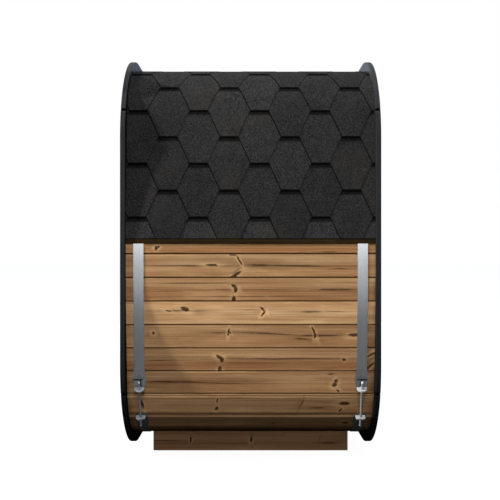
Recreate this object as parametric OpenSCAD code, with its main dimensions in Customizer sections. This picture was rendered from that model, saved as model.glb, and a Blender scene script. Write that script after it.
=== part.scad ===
// Cube sauna: a rounded-square cabin of tongue-and-groove staves, held by two
// tensioned steel bands, between two fascia rims, on a low timber base.
// X runs along the staves with the door end at +X, Y across, Z up.

/* [Overall] */
// Length over the two rims
sauna_length = 1256; // [1000:2:2400]
// Width over the rims
sauna_width = 2030; // [1900:10:2300]
// Height of the rims, without the base
sauna_height = 2020; // [1900:10:2200]
// Clear height between the ground and the lowest stave
base_clearance = 107; // [60:1:160]

/* [Rims] */
// Thickness of the rim boards
rim_t = 25; // [15:1:40]
// Radial width of the rim boards
rim_board_w = 145; // [110:5:190]
// Outer radius of the rim corners
rim_corner_r = 464; // [400:2:520]
// How far each rim joint lies into its corner arc, in degrees
rim_joint_angle = 18; // [8:1:30]
// Gap left at each rim joint
rim_joint_gap = 3; // [1:0.5:6]

/* [Shell] */
// Thickness of the staves
stave_t = 40; // [28:1:60]
// Cover width of the wall and corner staves
stave_w = 114.8; // [105:0.2:120]
// Distance from the rim's outer edge to the staves at mid-height
side_inset = 15; // [12:1:60]
// Distance from the rim's outer edge to the staves at the middle of floor and ceiling
floor_inset = 47; // [30:1:60]
// Outer radius of the shell's corners
shell_corner_r = 296; // [260:2:340]
// Half of the angle that each bowed side wall turns through
side_bow = 8.35; // [5:0.05:10]
// Half of the angle that the bowed floor and ceiling turn through
floor_bow = 4.5; // [3:0.1:7]
// Depth of the first wall joint below the middle of the cabin
first_joint_drop = 9; // [0:1:20]
// Staves from the first wall joint down to the corner, and up to the other corner
half_wall_staves = 6; // [5:1:6]
// Staves in each corner
corner_staves = 3; // [3:1:4]
// Staves in the floor
floor_stave_count = 13; // [11:1:14]
// Staves in the ceiling
ceiling_stave_count = 13; // [11:1:14]

/* [Stave joints] */
// Gap between neighbouring staves
stave_gap = 0.4; // [0.2:0.1:1]
// Chamfer on the outer edges of a stave
stave_chamfer = 4; // [2:0.5:7]
// Depth of the tongue's outer cheek below the outer face
tongue_depth = 16; // [13:0.5:18]
// Thickness of the tongue at its root
tongue_t = 9; // [6:0.5:10]
// Length of the tongue
tongue_l = 9; // [5:0.5:12]
// Narrowing of the tongue on each cheek
tongue_taper = 1; // [0.5:0.5:2]
// Clearance round the tongue in its groove
tongue_fit = 0.4; // [0.2:0.1:1]

/* [Bands] */
// Width of the tension bands
band_w = 50; // [30:1:60]
// Thickness of the tension bands
band_t = 1.5; // [1:0.1:3]
// Distance from the rim's face to the middle of the band
band_inset = 87; // [70:1:110]
// Thickness of the lug plates
lug_t = 3; // [2:0.5:5]
// Distance from the upper lug's flange to the end of its stave
upper_lug_end = 33; // [24:1:40]
// Widest part of the upper lugs
upper_lug_w = 67; // [55:1:80]
// Length of the upper lugs
upper_lug_l = 96; // [80:1:110]
// Distance from the upper lug's flange to its slot
slot_up = 44; // [34:1:60]
// Height of the slot
slot_h = 4; // [3:0.5:8]
// Height of the fold above the slot
fold_h = 22; // [14:1:34]
// Width of the fold
fold_w = 40; // [24:1:44]
// How far the fold stands out
fold_out = 6; // [3:0.5:10]
// Distance from the lower lug's flange to the joint above its stave
lower_lug_rise = 6; // [0:1:9]
// Width of the lower lugs
lower_lug_w = 60; // [55:1:80]
// Length of the lower lugs
lower_lug_l = 80; // [60:1:100]
// Thickness of the lug flanges
flange_t = 5; // [3:0.5:8]
// Width of the half-round lug flanges
flange_w = 48; // [40:1:60]
// Diameter of the tension rods
rod_d = 10; // [8:1:12]
// Distance from the shell to the axis of the tension rods
rod_stand = 22; // [18:1:30]
// Length of rod above the upper flange
rod_over = 38; // [25:1:42]
// Length of rod below the lower flange
rod_under = 45; // [25:1:70]
// Width across the flats of the rod nuts
nut_w = 17; // [15:1:22]
// Height of the rod nuts
nut_h = 8; // [6:0.5:12]
// Diameter of the washers
washer_d = 21; // [18:1:28]
// Thickness of the washers
washer_t = 1.6; // [1:0.1:3]

/* [Roof] */
// Height of the shingles' lower edge above the middle of the cabin
shingle_edge_z = 66; // [50:1:95]
// Thickness of the shingle covering at the lower edge of a course
shingle_t = 7; // [5:0.5:12]
// Step from a course down to the next one below
shingle_step = 2.5; // [1:0.5:4]
// Height of a course that is left open to the weather
exposure = 131; // [110:1:150]
// Distance from the eave up to the first course's edge
first_course = 98; // [60:1:105]
// Width of the ridge cap
ridge_w = 250; // [160:10:320]
// Height of the edge lath below the shingles
lath_w = 26; // [15:1:40]
// Thickness of the edge lath
lath_t = 6; // [4:0.5:20]

/* [Base] */
// Distance from the rims' faces to the ends of the base rails
rail_inset = 105; // [60:1:200]
// Thickness of the base timbers
rail_t = 45; // [35:1:70]
// Distance from the rims' sides to the outer face of a base rail
rail_side_inset = 449; // [380:1:560]
// Depth of the cross bearers
bearer_h = 95; // [45:1:100]

/* [End walls] */
// Thickness of the end walls
end_wall_t = 42; // [28:1:60]
// Width of the doorway between its jambs
door_w = 640; // [560:10:760]
// Height of the wall that is left above the door frame
over_door_h = 91; // [60:1:300]
// Height of the doorway's sill above the floor staves
sill_h = 95; // [70:5:120]
// Face width of the door frame
frame_w = 60; // [40:5:90]
// Depth of the door frame
frame_depth = 70; // [50:5:90]
// Thickness of the door glass
glass_t = 8; // [6:1:10]
// Gap between the glass and its frame
glass_gap = 4; // [2:1:8]
// Width of the rebate that the glass closes against
door_stop = 12; // [8:1:20]
// Distance from the glass edge to the handle's axis
handle_inset = 60; // [45:5:90]
// Length of the handle
handle_l = 300; // [180:10:420]
// Distance from the ends of the handle to its posts
handle_post_inset = 40; // [25:5:70]
// Diameter of the handle's posts
handle_post_d = 14; // [10:1:18]
// Diameter of the handle
handle_d = 26; // [20:1:28]
// Distance from the glass to the handle's axis
handle_stand = 32; // [28:1:34]
// Height of a hinge
hinge_h = 70; // [50:5:100]
// Width of a hinge leaf
hinge_leaf = 34; // [24:1:45]
// Thickness of a hinge leaf
hinge_t = 5; // [3:0.5:6]
// Diameter of a hinge knuckle
knuckle_d = 14; // [10:1:16]
// Distance from sill and head to the middle of a hinge
hinge_inset = 180; // [120:10:300]

/* [Hidden] */

$fn = 96;
small_fn = 32;                              // facets of rods, nuts, lugs and handle
seat = 0.3;                                 // running clearance of pieces that rest on each other
edge = 1;                                   // sliver that a hull starts from

// Shell section: four bowed sides joined by round corners, all tangent.
half_w = sauna_width / 2 - side_inset;
half_h = sauna_height / 2 - floor_inset;
centre_z = half_h + base_clearance;
bow_det = sin(side_bow) * sin(floor_bow) - (1 - cos(side_bow)) * (1 - cos(floor_bow));
flat_w = half_w - shell_corner_r;
flat_h = half_h - shell_corner_r;
side_r = shell_corner_r
  + (flat_h * sin(floor_bow) - flat_w * (1 - cos(floor_bow))) / bow_det;
floor_r = shell_corner_r
  + (flat_w * sin(side_bow) - flat_h * (1 - cos(side_bow))) / bow_det;
corner_y = (floor_r - shell_corner_r) * sin(floor_bow);
corner_z = (side_r - shell_corner_r) * sin(side_bow);
side_arc = side_r * side_bow * PI / 180;
corner_arc = shell_corner_r * (90 - side_bow - floor_bow) * PI / 180;
floor_arc = floor_r * floor_bow * PI / 180;
quarter = side_arc + corner_arc + floor_arc;

// A point of the section at distance s from mid-height, as [out, down]
function quarter_point(s) =
  s < side_arc
    ? let (a = s / side_r * 180 / PI) [half_w - side_r * (1 - cos(a)), side_r * sin(a)]
  : s < side_arc + corner_arc
    ? let (a = side_bow + (s - side_arc) / shell_corner_r * 180 / PI)
      [corner_y + shell_corner_r * cos(a), corner_z + shell_corner_r * sin(a)]
  : let (a = (quarter - s) / floor_r * 180 / PI)
      [floor_r * sin(a), half_h - floor_r * (1 - cos(a))];

// A point of the whole ring, from the left wall's middle downwards, as [y, z]
function ring_point(s) =
  s < 0 ? ring_point(s + 4 * quarter)
  : s < quarter ? let (p = quarter_point(s)) [-p.x, -p.y]
  : s < 2 * quarter ? let (p = quarter_point(2 * quarter - s)) [p.x, -p.y]
  : s < 3 * quarter ? let (p = quarter_point(s - 2 * quarter)) [p.x, p.y]
  : let (p = quarter_point(4 * quarter - s)) [-p.x, p.y];

// Joints between the staves: whole staves on walls and corners, and the
// floor and ceiling share what is left equally.
side_staves = half_wall_staves + corner_staves;
floor_start = first_joint_drop + side_staves * stave_w;
ceiling_start = first_joint_drop - side_staves * stave_w;
floor_pitch = 2 * (quarter - floor_start) / floor_stave_count;
ceiling_pitch = 2 * (quarter + ceiling_start) / ceiling_stave_count;
joint_s = [
  for (k = [0:side_staves]) first_joint_drop + k * stave_w,
  for (k = [1:floor_stave_count - 1]) floor_start + k * floor_pitch,
  for (k = [0:2 * side_staves]) 2 * quarter - floor_start + k * stave_w,
  for (k = [1:ceiling_stave_count - 1]) 2 * quarter - ceiling_start + k * ceiling_pitch,
  for (k = [0:side_staves - 1]) 4 * quarter + ceiling_start + k * stave_w
];
joint = [for (s = joint_s) ring_point(s)];
joints = len(joint);
right_mid = 2 * side_staves + floor_stave_count;   // the right wall's joint beside joint 0

function unit(v) = v / norm(v);
function around(j) = (j + joints) % joints;
function along(j) = unit(joint[around(j + 1)] - joint[around(j)]);
function outward(j) = let (e = along(j)) [e.y, -e.x];
function mitre(j) = unit(outward(j - 1) + outward(j));
function tangent(j) = let (m = mitre(j)) [-m.y, m.x];
// Joint j moved outwards, so that every face moves by d
function joint_off(j, d) = joint[around(j)] + mitre(j) * d / (mitre(j) * outward(j));
// A point on the face of stave j, at u from joint j and d outwards
function face_point(j, u, d) = joint[around(j)] + along(j) * u + outward(j) * d;
function face_length(j) = norm(joint[around(j + 1)] - joint[around(j)]);
function outline(d) = [for (j = [0:joints - 1]) joint_off(j, d)];

// One stave's profile, with a chamfered outer face, a tongue towards the
// next stave and a groove for the last one's tongue.
function at_joint(j, deep, step) = joint[around(j)] - mitre(j) * deep + tangent(j) * step;
function stave_profile(j) = let (
    next = j + 1,
    half_gap = stave_gap / 2,
    inner = stave_t / (mitre(j) * outward(j)),
    inner_next = stave_t / (mitre(next) * outward(j)),
    root = tongue_depth + tongue_t,
    groove = tongue_l + tongue_fit + half_gap
  ) [
    face_point(j, stave_chamfer, 0),
    face_point(j, face_length(j) - stave_chamfer, 0),
    at_joint(next, stave_chamfer, -half_gap),
    at_joint(next, tongue_depth, -half_gap),
    at_joint(next, tongue_depth + tongue_taper, tongue_l),
    at_joint(next, root - tongue_taper, tongue_l),
    at_joint(next, root, -half_gap),
    at_joint(next, inner_next, -half_gap),
    at_joint(j, inner, half_gap),
    at_joint(j, root + tongue_fit, half_gap),
    at_joint(j, root - tongue_taper + tongue_fit, groove),
    at_joint(j, tongue_depth + tongue_taper - tongue_fit, groove),
    at_joint(j, tongue_depth - tongue_fit, half_gap),
    at_joint(j, stave_chamfer, half_gap)
  ];

stave_length = sauna_length - 2 * rim_t;
band_x = sauna_length / 2 - band_inset;
band_gap = seat;                            // band to staves
over_band = band_gap + band_t + seat;       // what lies on a band
rod_hole_d = rod_d + 1;
rail_length = sauna_length - 2 * rail_inset;
rail_y = sauna_width / 2 - rail_side_inset;
band_room = 2;                              // beside a band, in timber that it passes
lath_top = shingle_edge_z + first_joint_drop;

wood = [0.60, 0.45, 0.31];
dark_wood = [0.33, 0.23, 0.17];
rim_black = [0.16, 0.17, 0.18];
shingle_grey = [0.20, 0.20, 0.21];
zinc = [0.72, 0.73, 0.74];
glass_tint = [0.45, 0.42, 0.40, 0.6];

// Draws in the cross-section plane and extrudes along the cabin
module along_x(length, x0) {
  translate([x0, 0, centre_z]) rotate([90, 0, 90]) linear_extrude(height = length) children();
}

module staves(first, count) {
  color(wood)
    for (j = [first:first + count - 1])
      along_x(stave_length, -stave_length / 2) polygon(stave_profile(j));
}

module left_wall_staves() {
  staves(joints - half_wall_staves, half_wall_staves);
  staves(0, half_wall_staves);
}

// ---------------------------------------------------------------- rims
rim_cy = sauna_width / 2 - rim_corner_r;
rim_cz = sauna_height / 2 - rim_corner_r;
rim_half_gap = rim_joint_gap / 2 / (rim_corner_r - rim_board_w / 2) * 180 / PI;

module rounded_outline(inset) {
  r = rim_corner_r - inset;
  square([sauna_width - 2 * inset, 2 * rim_cz], center = true);
  square([2 * rim_cy, sauna_height - 2 * inset], center = true);
  for (sy = [-1, 1], sz = [-1, 1])
    translate([sy * rim_cy, sz * rim_cz]) circle(r = r);
}

module rim_ring() {
  difference() {
    rounded_outline(0);
    rounded_outline(rim_board_w);
  }
}

// The wedge from a corner's centre between two angles, past the ring
function ray(sy, sz, angle) =
  [sy * rim_cy, sz * rim_cz] + 2 * rim_corner_r * [cos(angle), sin(angle)];

module rim_corner(sy, sz, from) {
  along_x(rim_t, 0) intersection() {
    rim_ring();
    polygon([
      [sy * rim_cy, sz * rim_cz],
      ray(sy, sz, from + rim_joint_angle + rim_half_gap),
      ray(sy, sz, from + 90 - rim_joint_angle - rim_half_gap)
    ]);
  }
}

// The board between two corners: a is the corner it starts at, with the
// angle at which its straight side begins, and b the corner it ends at
module rim_board(a, b, from) {
  cut = rim_joint_angle - rim_half_gap;
  along_x(rim_t, 0) intersection() {
    rim_ring();
    polygon([
      [a.x * rim_cy, a.y * rim_cz], ray(a.x, a.y, from - cut),
      ray(b.x, b.y, from + cut), [b.x * rim_cy, b.y * rim_cz]
    ]);
  }
}

module rim_right() { rim_board([1, -1], [1, 1], 0); }
module rim_top() { rim_board([1, 1], [-1, 1], 90); }
module rim_left() { rim_board([-1, 1], [-1, -1], 180); }
module rim_bottom() { rim_board([-1, -1], [1, -1], 270); }

module rim_corners() {
  rim_corner(1, 1, 0);
  rim_corner(-1, 1, 90);
  rim_corner(-1, -1, 180);
  rim_corner(1, -1, 270);
}

module at_front() { color(rim_black) translate([sauna_length / 2 - rim_t, 0, 0]) children(); }
module at_rear() { color(rim_black) translate([-sauna_length / 2, 0, 0]) children(); }

// ---------------------------------------------------------------- bands
// A strip of the given thickness over the joints from..to, ended on the
// faces before and after them
module strip_2d(from, to, start, end, d0, d1) {
  polygon(concat(
    [start[0]], [for (j = [from:to]) joint_off(j, d0)], [end[0]],
    [end[1]], [for (j = [to:-1:from]) joint_off(j, d1)], [start[1]]));
}

upper_stave = half_wall_staves - 1;         // carries the upper left lug
lower_stave = half_wall_staves + 1;         // carries the lower left lug
band_lap = 20;                              // band's end to the lug's flange
plate_lap = 2;                              // plate's end past the flange's top

function band_end(j, u) = [face_point(j, u, band_gap), face_point(j, u, band_gap + band_t)];

module upper_band(x) {
  u = face_length(upper_stave) - upper_lug_end - band_lap;
  right = right_mid - half_wall_staves;
  color(zinc) along_x(band_w, x - band_w / 2)
    strip_2d(right + 1, joints + upper_stave, band_end(right, face_length(right) - u),
      band_end(upper_stave, u), band_gap, band_gap + band_t);
}

module lower_band(x) {
  u = band_lap - lower_lug_rise;
  right = right_mid - lower_stave - 1;
  color(zinc) along_x(band_w, x - band_w / 2)
    strip_2d(lower_stave + 1, right, band_end(lower_stave, u),
      band_end(right, face_length(right) - u), band_gap, band_gap + band_t);
}

// ---------------------------------------------------------------- lugs and rods
// Rod axis: through both flanges, at rod_stand from the shell
rod_top = face_point(upper_stave, face_length(upper_stave) - upper_lug_end, rod_stand);
rod_bottom = face_point(lower_stave, -lower_lug_rise, rod_stand);
rod_axis = unit(rod_top - rod_bottom);
rod_tilt = atan2(rod_axis.x, rod_axis.y);    // lean of the rod from upright, outwards is negative
flange_span = norm(rod_top - rod_bottom);

// Places its children on both walls and both bands
module each_lug() {
  for (x = [-band_x, band_x])
    for (side = [0, 1])
      translate([x, 0, centre_z]) mirror([0, side, 0]) children();
}

// The frame of the rod: origin at the lower flange, Z up along the rod,
// -Y outwards
module at_rod() {
  translate([0, rod_bottom.x, rod_bottom.y]) rotate([-rod_tilt, 0, 0]) children();
}

// The frame of stave j's face: origin at its joint j, -Z down the face
module on_face(j) {
  n = outward(j);
  p = joint[j];
  translate([0, p.x, p.y]) rotate([-atan2(n.y, -n.x), 0, 0]) children();
}

module flange() {
  difference() {
    union() {
      cylinder(d = flange_w, h = flange_t, $fn = small_fn);
      translate([-flange_w / 2, 0, 0]) cube([flange_w, rod_stand - over_band - lug_t / 2, flange_t]);
    }
    translate([0, 0, -1]) cylinder(d = rod_hole_d, h = flange_t + 2, $fn = small_fn);
  }
}

// Stands its flat children on stave j's face, over the band, with the
// origin at distance u below joint j and Y up the face
module plate_at(j, u) {
  on_face(j) translate([0, -over_band, -u]) rotate([90, 0, 0]) linear_extrude(height = lug_t) children();
}

module shield() {
  bulge = 20;
  hull() {
    translate([-flange_w / 2, -plate_lap]) square([flange_w, edge]);
    for (side = [-1, 1])
      translate([side * (upper_lug_w / 2 - bulge), slot_up]) circle(r = bulge, $fn = small_fn);
    translate([-band_w / 2, upper_lug_l - edge]) square([band_w, edge]);
  }
}

module upper_plate() {
  u = face_length(upper_stave) - upper_lug_end;
  plate_at(upper_stave, u) difference() {
    shield();
    translate([-band_w / 2, slot_up]) square([band_w, slot_h]);
  }
  on_face(upper_stave) translate([0, -over_band - lug_t, slot_up + slot_h - u]) fold();
}

// The lip pressed outwards above the slot
module fold() {
  hull() {
    translate([-fold_w / 2, -fold_out, 0]) cube([fold_w, fold_out + edge, edge]);
    translate([-edge, 0, fold_h]) cube([2 * edge, edge, edge]);
  }
}

module lower_plate() {
  corner = 14;
  plate_at(lower_stave, -lower_lug_rise) hull() {
    for (side = [-1, 1])
      translate([side * (lower_lug_w / 2 - corner), -corner]) circle(r = corner, $fn = small_fn);
    translate([-lower_lug_w / 2, -lower_lug_l]) square([lower_lug_w, edge]);
  }
}

module tension_rod() {
  below = flange_t + rod_under;
  translate([0, 0, -below]) cylinder(d = rod_d, h = below + flange_span + rod_over, $fn = small_fn);
}

// A nut on its washer
module hex_nut() {
  difference() {
    union() {
      cylinder(d = washer_d, h = washer_t, $fn = small_fn);
      cylinder(d = nut_w / cos(30), h = washer_t + nut_h, $fn = 6);
    }
    translate([0, 0, -1]) cylinder(d = rod_d + 0.2, h = washer_t + nut_h + 2, $fn = small_fn);
  }
}

// ---------------------------------------------------------------- base
module base_rail(side) {
  bottom = -centre_z;
  color(dark_wood) difference() {
    along_x(rail_length, -rail_length / 2) difference() {
      translate([side > 0 ? rail_y - rail_t : -rail_y, bottom]) square([rail_t, base_clearance + rail_t]);
      polygon(outline(seat));
    }
    for (x = [-band_x, band_x])
      along_x(band_w + 2 * band_room, x - band_w / 2 - band_room) polygon(outline(over_band));
  }
}

module base_bearer(x0) {
  color(dark_wood)
    translate([x0, -rail_y + rail_t, 0]) cube([rail_t, 2 * (rail_y - rail_t), bearer_h]);
}

// ---------------------------------------------------------------- roof
lath_u = stave_w - lath_top;                // shingle edge, along the face below joint -1

// Distance from the left eave up to the roof's joint i
function rise(i) = i == 0 ? lath_u : rise(i - 1) + face_length(joints - 1 - i);
// The point at distance s from the left eave and d outwards
function roof_point(s, d, i = 0) =
  s <= rise(i) ? face_point(joints - 1 - i, rise(i) - s, d) : roof_point(s, d, i + 1);

half_roof_joints = side_staves + floor(ceiling_stave_count / 2);
half_cover = rise(half_roof_joints - 1) - joint[joints - half_roof_joints].x;
ridge_s = half_cover - ridge_w / 2;
course_edges = [for (s = [first_course:exposure:ridge_s]) s, ridge_s];
just_below = 0.01;

// Each course thins from its lower edge up to the next one, and a cap covers the ridge
function course_t(s) =
  s >= ridge_s ? shingle_t
  : shingle_t - shingle_step * ((s - first_course + exposure) % exposure) / exposure;
function course_edge(s) = [
  roof_point(s, over_band + course_t(s - just_below)),
  roof_point(s, over_band + course_t(s))
];
function edges_between(from, to) = [for (s = course_edges) if (s > from && s <= to) each course_edge(s)];

cover_line = [
  roof_point(0, over_band + course_t(0)),
  each edges_between(0, rise(0)),
  for (i = [0:half_roof_joints - 1]) each concat(
    [joint_off(joints - 1 - i, over_band + course_t(rise(i)))],
    edges_between(rise(i), rise(i + 1)))
];
under_line = [
  roof_point(0, over_band),
  for (i = [0:half_roof_joints - 1]) joint_off(joints - 1 - i, over_band)
];

function reversed(line) = [for (k = [len(line) - 1:-1:0]) line[k]];
function over_ridge(line) = concat(line, [for (p = reversed(line)) [-p.x, p.y]]);

module roof_cover() {
  polygon(concat(over_ridge(cover_line), reversed(over_ridge(under_line))));
}

module left_lath() {
  j = joints - 1;
  color(dark_wood) difference() {
    along_x(stave_length - 2 * seat, -stave_length / 2 + seat)
      polygon([
        face_point(j, lath_u + seat, seat), face_point(j, lath_u + lath_w, seat),
        face_point(j, lath_u + lath_w, lath_t), face_point(j, lath_u + seat, lath_t)
      ]);
    for (x = [-band_x, band_x])
      along_x(band_w + 2 * band_room, x - band_w / 2 - band_room) polygon(outline(over_band));
  }
}

// ---------------------------------------------------------------- end walls and door
sill_z = -half_h + stave_t + sill_h;        // from the middle of the cabin
head_z = half_h - stave_t - over_door_h - frame_w;
door_h = head_z - sill_z;
frame_y = door_w / 2 + frame_w;
wall_fit = stave_t + seat;

module end_wall(x, y0, y1, z0, z1) {
  color(wood) along_x(end_wall_t, x - end_wall_t / 2) intersection() {
    polygon(outline(-wall_fit));
    translate([y0, z0]) square([y1 - y0, z1 - z0]);
  }
}

module front_part(y0, y1, z0, z1) {
  end_wall(band_x, y0, y1, z0, z1);
}

module jamb(side) {
  color(dark_wood) translate([0, side * (door_w / 2 + frame_w / 2), 0])
    translate([band_x - frame_depth / 2, -frame_w / 2, centre_z + sill_z])
      difference() {
        cube([frame_depth, frame_w, door_h]);
        translate([frame_depth - glass_t - seat, side > 0 ? -1 : frame_w - door_stop, -1])
          cube([glass_t + seat + 1, door_stop + 1, door_h + 2]);
      }
}

module cross_rail(z) {
  color(dark_wood) translate([band_x - frame_depth / 2, -door_w / 2 - frame_w, centre_z + z])
    cube([frame_depth, door_w + 2 * frame_w, frame_w]);
}

glass_w = door_w + 2 * door_stop - 2 * glass_gap;
glass_x = band_x + frame_depth / 2 - glass_t;

module door_glass() {
  color(glass_tint) translate([glass_x, -glass_w / 2, centre_z + sill_z + glass_gap])
    cube([glass_t, glass_w, door_h - 2 * glass_gap]);
}

door_face = glass_x + glass_t;

module door_handle() {
  $fn = small_fn;
  color(dark_wood)
    translate([door_face, handle_inset - glass_w / 2, centre_z + sill_z + (door_h - handle_l) / 2]) {
      translate([handle_stand, 0, 0]) cylinder(d = handle_d, h = handle_l);
      for (z = [handle_post_inset, handle_l - handle_post_inset])
        translate([seat, 0, z]) rotate([0, 90, 0]) cylinder(d = handle_post_d, h = handle_stand);
    }
}

module door_hinges() {
  bottom = centre_z + sill_z - hinge_h / 2;
  for (z = [hinge_inset, door_h - hinge_inset])
    color(zinc) translate([door_face + seat, glass_w / 2 - hinge_leaf, bottom + z]) {
      cube([hinge_t, 2 * hinge_leaf + glass_gap, hinge_h]);
      translate([knuckle_d / 2, hinge_leaf + glass_gap / 2, 0])
        cylinder(d = knuckle_d, h = hinge_h, $fn = small_fn);
    }
}

base_rail(-1);  // base_left_rail
base_rail(1);  // base_right_rail
base_bearer(rail_length / 2 - 2 * rail_t);  // base_front_bearer
base_bearer(-rail_length / 2 + rail_t);  // base_rear_bearer
staves(side_staves, floor_stave_count);  // floor_staves
staves(right_mid + side_staves, ceiling_stave_count);  // ceiling_staves
left_wall_staves();
staves(right_mid - half_wall_staves, 2 * half_wall_staves);  // right_wall_staves
staves(half_wall_staves, corner_staves);  // lower_left_staves
staves(right_mid - side_staves, corner_staves);  // lower_right_staves
staves(joints - side_staves, corner_staves);  // upper_left_staves
staves(right_mid + half_wall_staves, corner_staves);  // upper_right_staves
front_part(-half_w, -frame_y - seat, -half_h, half_h);  // front_wall_left
front_part(frame_y + seat, half_w, -half_h, half_h);  // front_wall_right
front_part(-frame_y, frame_y, head_z + frame_w + seat, half_h);  // front_wall_over_door
front_part(-frame_y, frame_y, -half_h, sill_z - frame_w - seat);  // front_wall_under_door
end_wall(-band_x, -half_w, half_w, -half_h, half_h);  // rear_wall
jamb(-1);  // door_left_jamb
jamb(1);  // door_right_jamb
cross_rail(head_z);  // door_head
cross_rail(sill_z - frame_w);  // door_sill
door_glass();
door_handle();
door_hinges();
at_front() rim_top();  // front_rim_top
at_front() rim_bottom();  // front_rim_bottom
at_front() rim_left();  // front_rim_left
at_front() rim_right();  // front_rim_right
at_front() rim_corners();  // front_rim_corners
at_rear() rim_top();  // rear_rim_top
at_rear() rim_bottom();  // rear_rim_bottom
at_rear() rim_left();  // rear_rim_left
at_rear() rim_right();  // rear_rim_right
at_rear() rim_corners();  // rear_rim_corners
color(shingle_grey) along_x(stave_length - 2 * seat, -stave_length / 2 + seat) roof_cover();  // roof_shingles
left_lath();  // left_edge_lath
mirror([0, 1, 0]) left_lath();  // right_edge_lath
upper_band(band_x);  // front_upper_band
upper_band(-band_x);  // rear_upper_band
lower_band(band_x);  // front_lower_band
lower_band(-band_x);  // rear_lower_band
color(zinc) each_lug() {  // upper_lugs
    upper_plate();
    at_rod() translate([0, 0, flange_span - flange_t]) flange();
  }
color(zinc) each_lug() {  // lower_lugs
    lower_plate();
    at_rod() translate([0, 0, -flange_t]) flange();
  }
color(zinc) each_lug() at_rod() tension_rod();  // tension_rods
color(zinc) each_lug() at_rod() {  // rod_nuts
    translate([0, 0, flange_span + seat]) hex_nut();
    translate([0, 0, -flange_t - seat]) mirror([0, 0, 1]) hex_nut();
  }
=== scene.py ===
"""Looks of a cube sauna: staves, rims, hexagonal shingles, tension bands, base and door.

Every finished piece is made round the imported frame, in metres, and takes its place from it.
X runs along the staves with the door end at +X, Y across the cabin, Z up.
"""

import logging
import math
import random
from dataclasses import dataclass, field
from enum import Enum
from typing import Callable, Iterable, Optional, Sequence, Union

import bmesh
import bpy
from mathutils import Matrix, Vector


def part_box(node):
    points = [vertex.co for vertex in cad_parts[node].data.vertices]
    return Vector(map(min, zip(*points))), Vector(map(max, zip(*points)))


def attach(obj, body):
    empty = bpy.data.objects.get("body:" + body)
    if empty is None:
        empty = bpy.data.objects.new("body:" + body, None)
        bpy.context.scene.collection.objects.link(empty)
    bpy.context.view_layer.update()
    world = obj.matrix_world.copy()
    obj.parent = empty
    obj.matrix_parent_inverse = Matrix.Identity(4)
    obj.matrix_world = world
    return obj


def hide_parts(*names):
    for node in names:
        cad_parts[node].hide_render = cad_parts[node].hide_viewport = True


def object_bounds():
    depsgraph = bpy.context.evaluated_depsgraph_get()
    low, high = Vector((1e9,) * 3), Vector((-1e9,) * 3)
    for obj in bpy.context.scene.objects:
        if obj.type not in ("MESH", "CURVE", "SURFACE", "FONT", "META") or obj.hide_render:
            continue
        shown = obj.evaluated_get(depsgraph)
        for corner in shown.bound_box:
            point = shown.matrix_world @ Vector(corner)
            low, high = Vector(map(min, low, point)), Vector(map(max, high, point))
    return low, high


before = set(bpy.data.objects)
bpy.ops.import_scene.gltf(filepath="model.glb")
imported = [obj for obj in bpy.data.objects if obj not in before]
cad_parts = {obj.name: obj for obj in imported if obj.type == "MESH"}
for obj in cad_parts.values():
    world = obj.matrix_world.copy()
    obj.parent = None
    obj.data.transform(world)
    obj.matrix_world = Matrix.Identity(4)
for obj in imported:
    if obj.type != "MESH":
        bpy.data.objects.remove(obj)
CAD_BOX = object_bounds()

BODY = "root"
GRAIN_UV = "Grain"
TONE = "Tone"
LOG = logging.getLogger("sauna")

Number = Union[int, float]
Value = Union[Number, Sequence[float], "Wire"]


# ---------------------------------------------------------------- shader maths
class Wire:
    """One output socket of a material, written in expressions like a number."""

    def __init__(self, graph: "Graph", socket: bpy.types.NodeSocket) -> None:
        """Keeps the socket and the graph it belongs to.

        Args:
            graph: The material graph that new nodes go to.
            socket: The output socket.
        """
        self.graph = graph
        self.socket = socket

    def math(self, operation: str, *others: Value) -> "Wire":
        """Adds a Math node that takes this value first.

        Args:
            operation: The Math node's operation.
            others: Its further operands.

        Returns:
            The node's result.
        """
        return self.graph.node("ShaderNodeMath", {"operation": operation}, (self, *others))

    def __add__(self, other: Value) -> "Wire":
        """Sum."""
        return self.math("ADD", other)

    __radd__ = __add__

    def __mul__(self, other: Value) -> "Wire":
        """Product."""
        return self.math("MULTIPLY", other)

    __rmul__ = __mul__

    def __sub__(self, other: Value) -> "Wire":
        """Difference."""
        return self.math("SUBTRACT", other)

    def __rsub__(self, other: Value) -> "Wire":
        """Difference, with this value taken away."""
        return self.graph.node("ShaderNodeMath", {"operation": "SUBTRACT"}, (other, self))

    def __truediv__(self, other: Value) -> "Wire":
        """Quotient."""
        return self.math("DIVIDE", other)

    def __lt__(self, other: Value) -> "Wire":
        """1 where this value is the smaller."""
        return self.math("LESS_THAN", other)

    def __gt__(self, other: Value) -> "Wire":
        """1 where this value is the larger."""
        return self.math("GREATER_THAN", other)

    def smallest(self, other: Value) -> "Wire":
        """The smaller of two values."""
        return self.math("MINIMUM", other)

    def largest(self, other: Value) -> "Wire":
        """The larger of two values."""
        return self.math("MAXIMUM", other)

    def ramp(self, low: Number, high: Number, start: Number = 0.0, end: Number = 1.0) -> "Wire":
        """Eases from one result to another as this value passes a range.

        Args:
            low: Where the change starts.
            high: Where it ends.
            start: The result up to low.
            end: The result from high on.

        Returns:
            The eased value.
        """
        return self.graph.node(
            "ShaderNodeMapRange",
            {"interpolation_type": "SMOOTHSTEP"},
            {"Value": self, "From Min": low, "From Max": high, "To Min": start, "To Max": end},
        )


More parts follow.
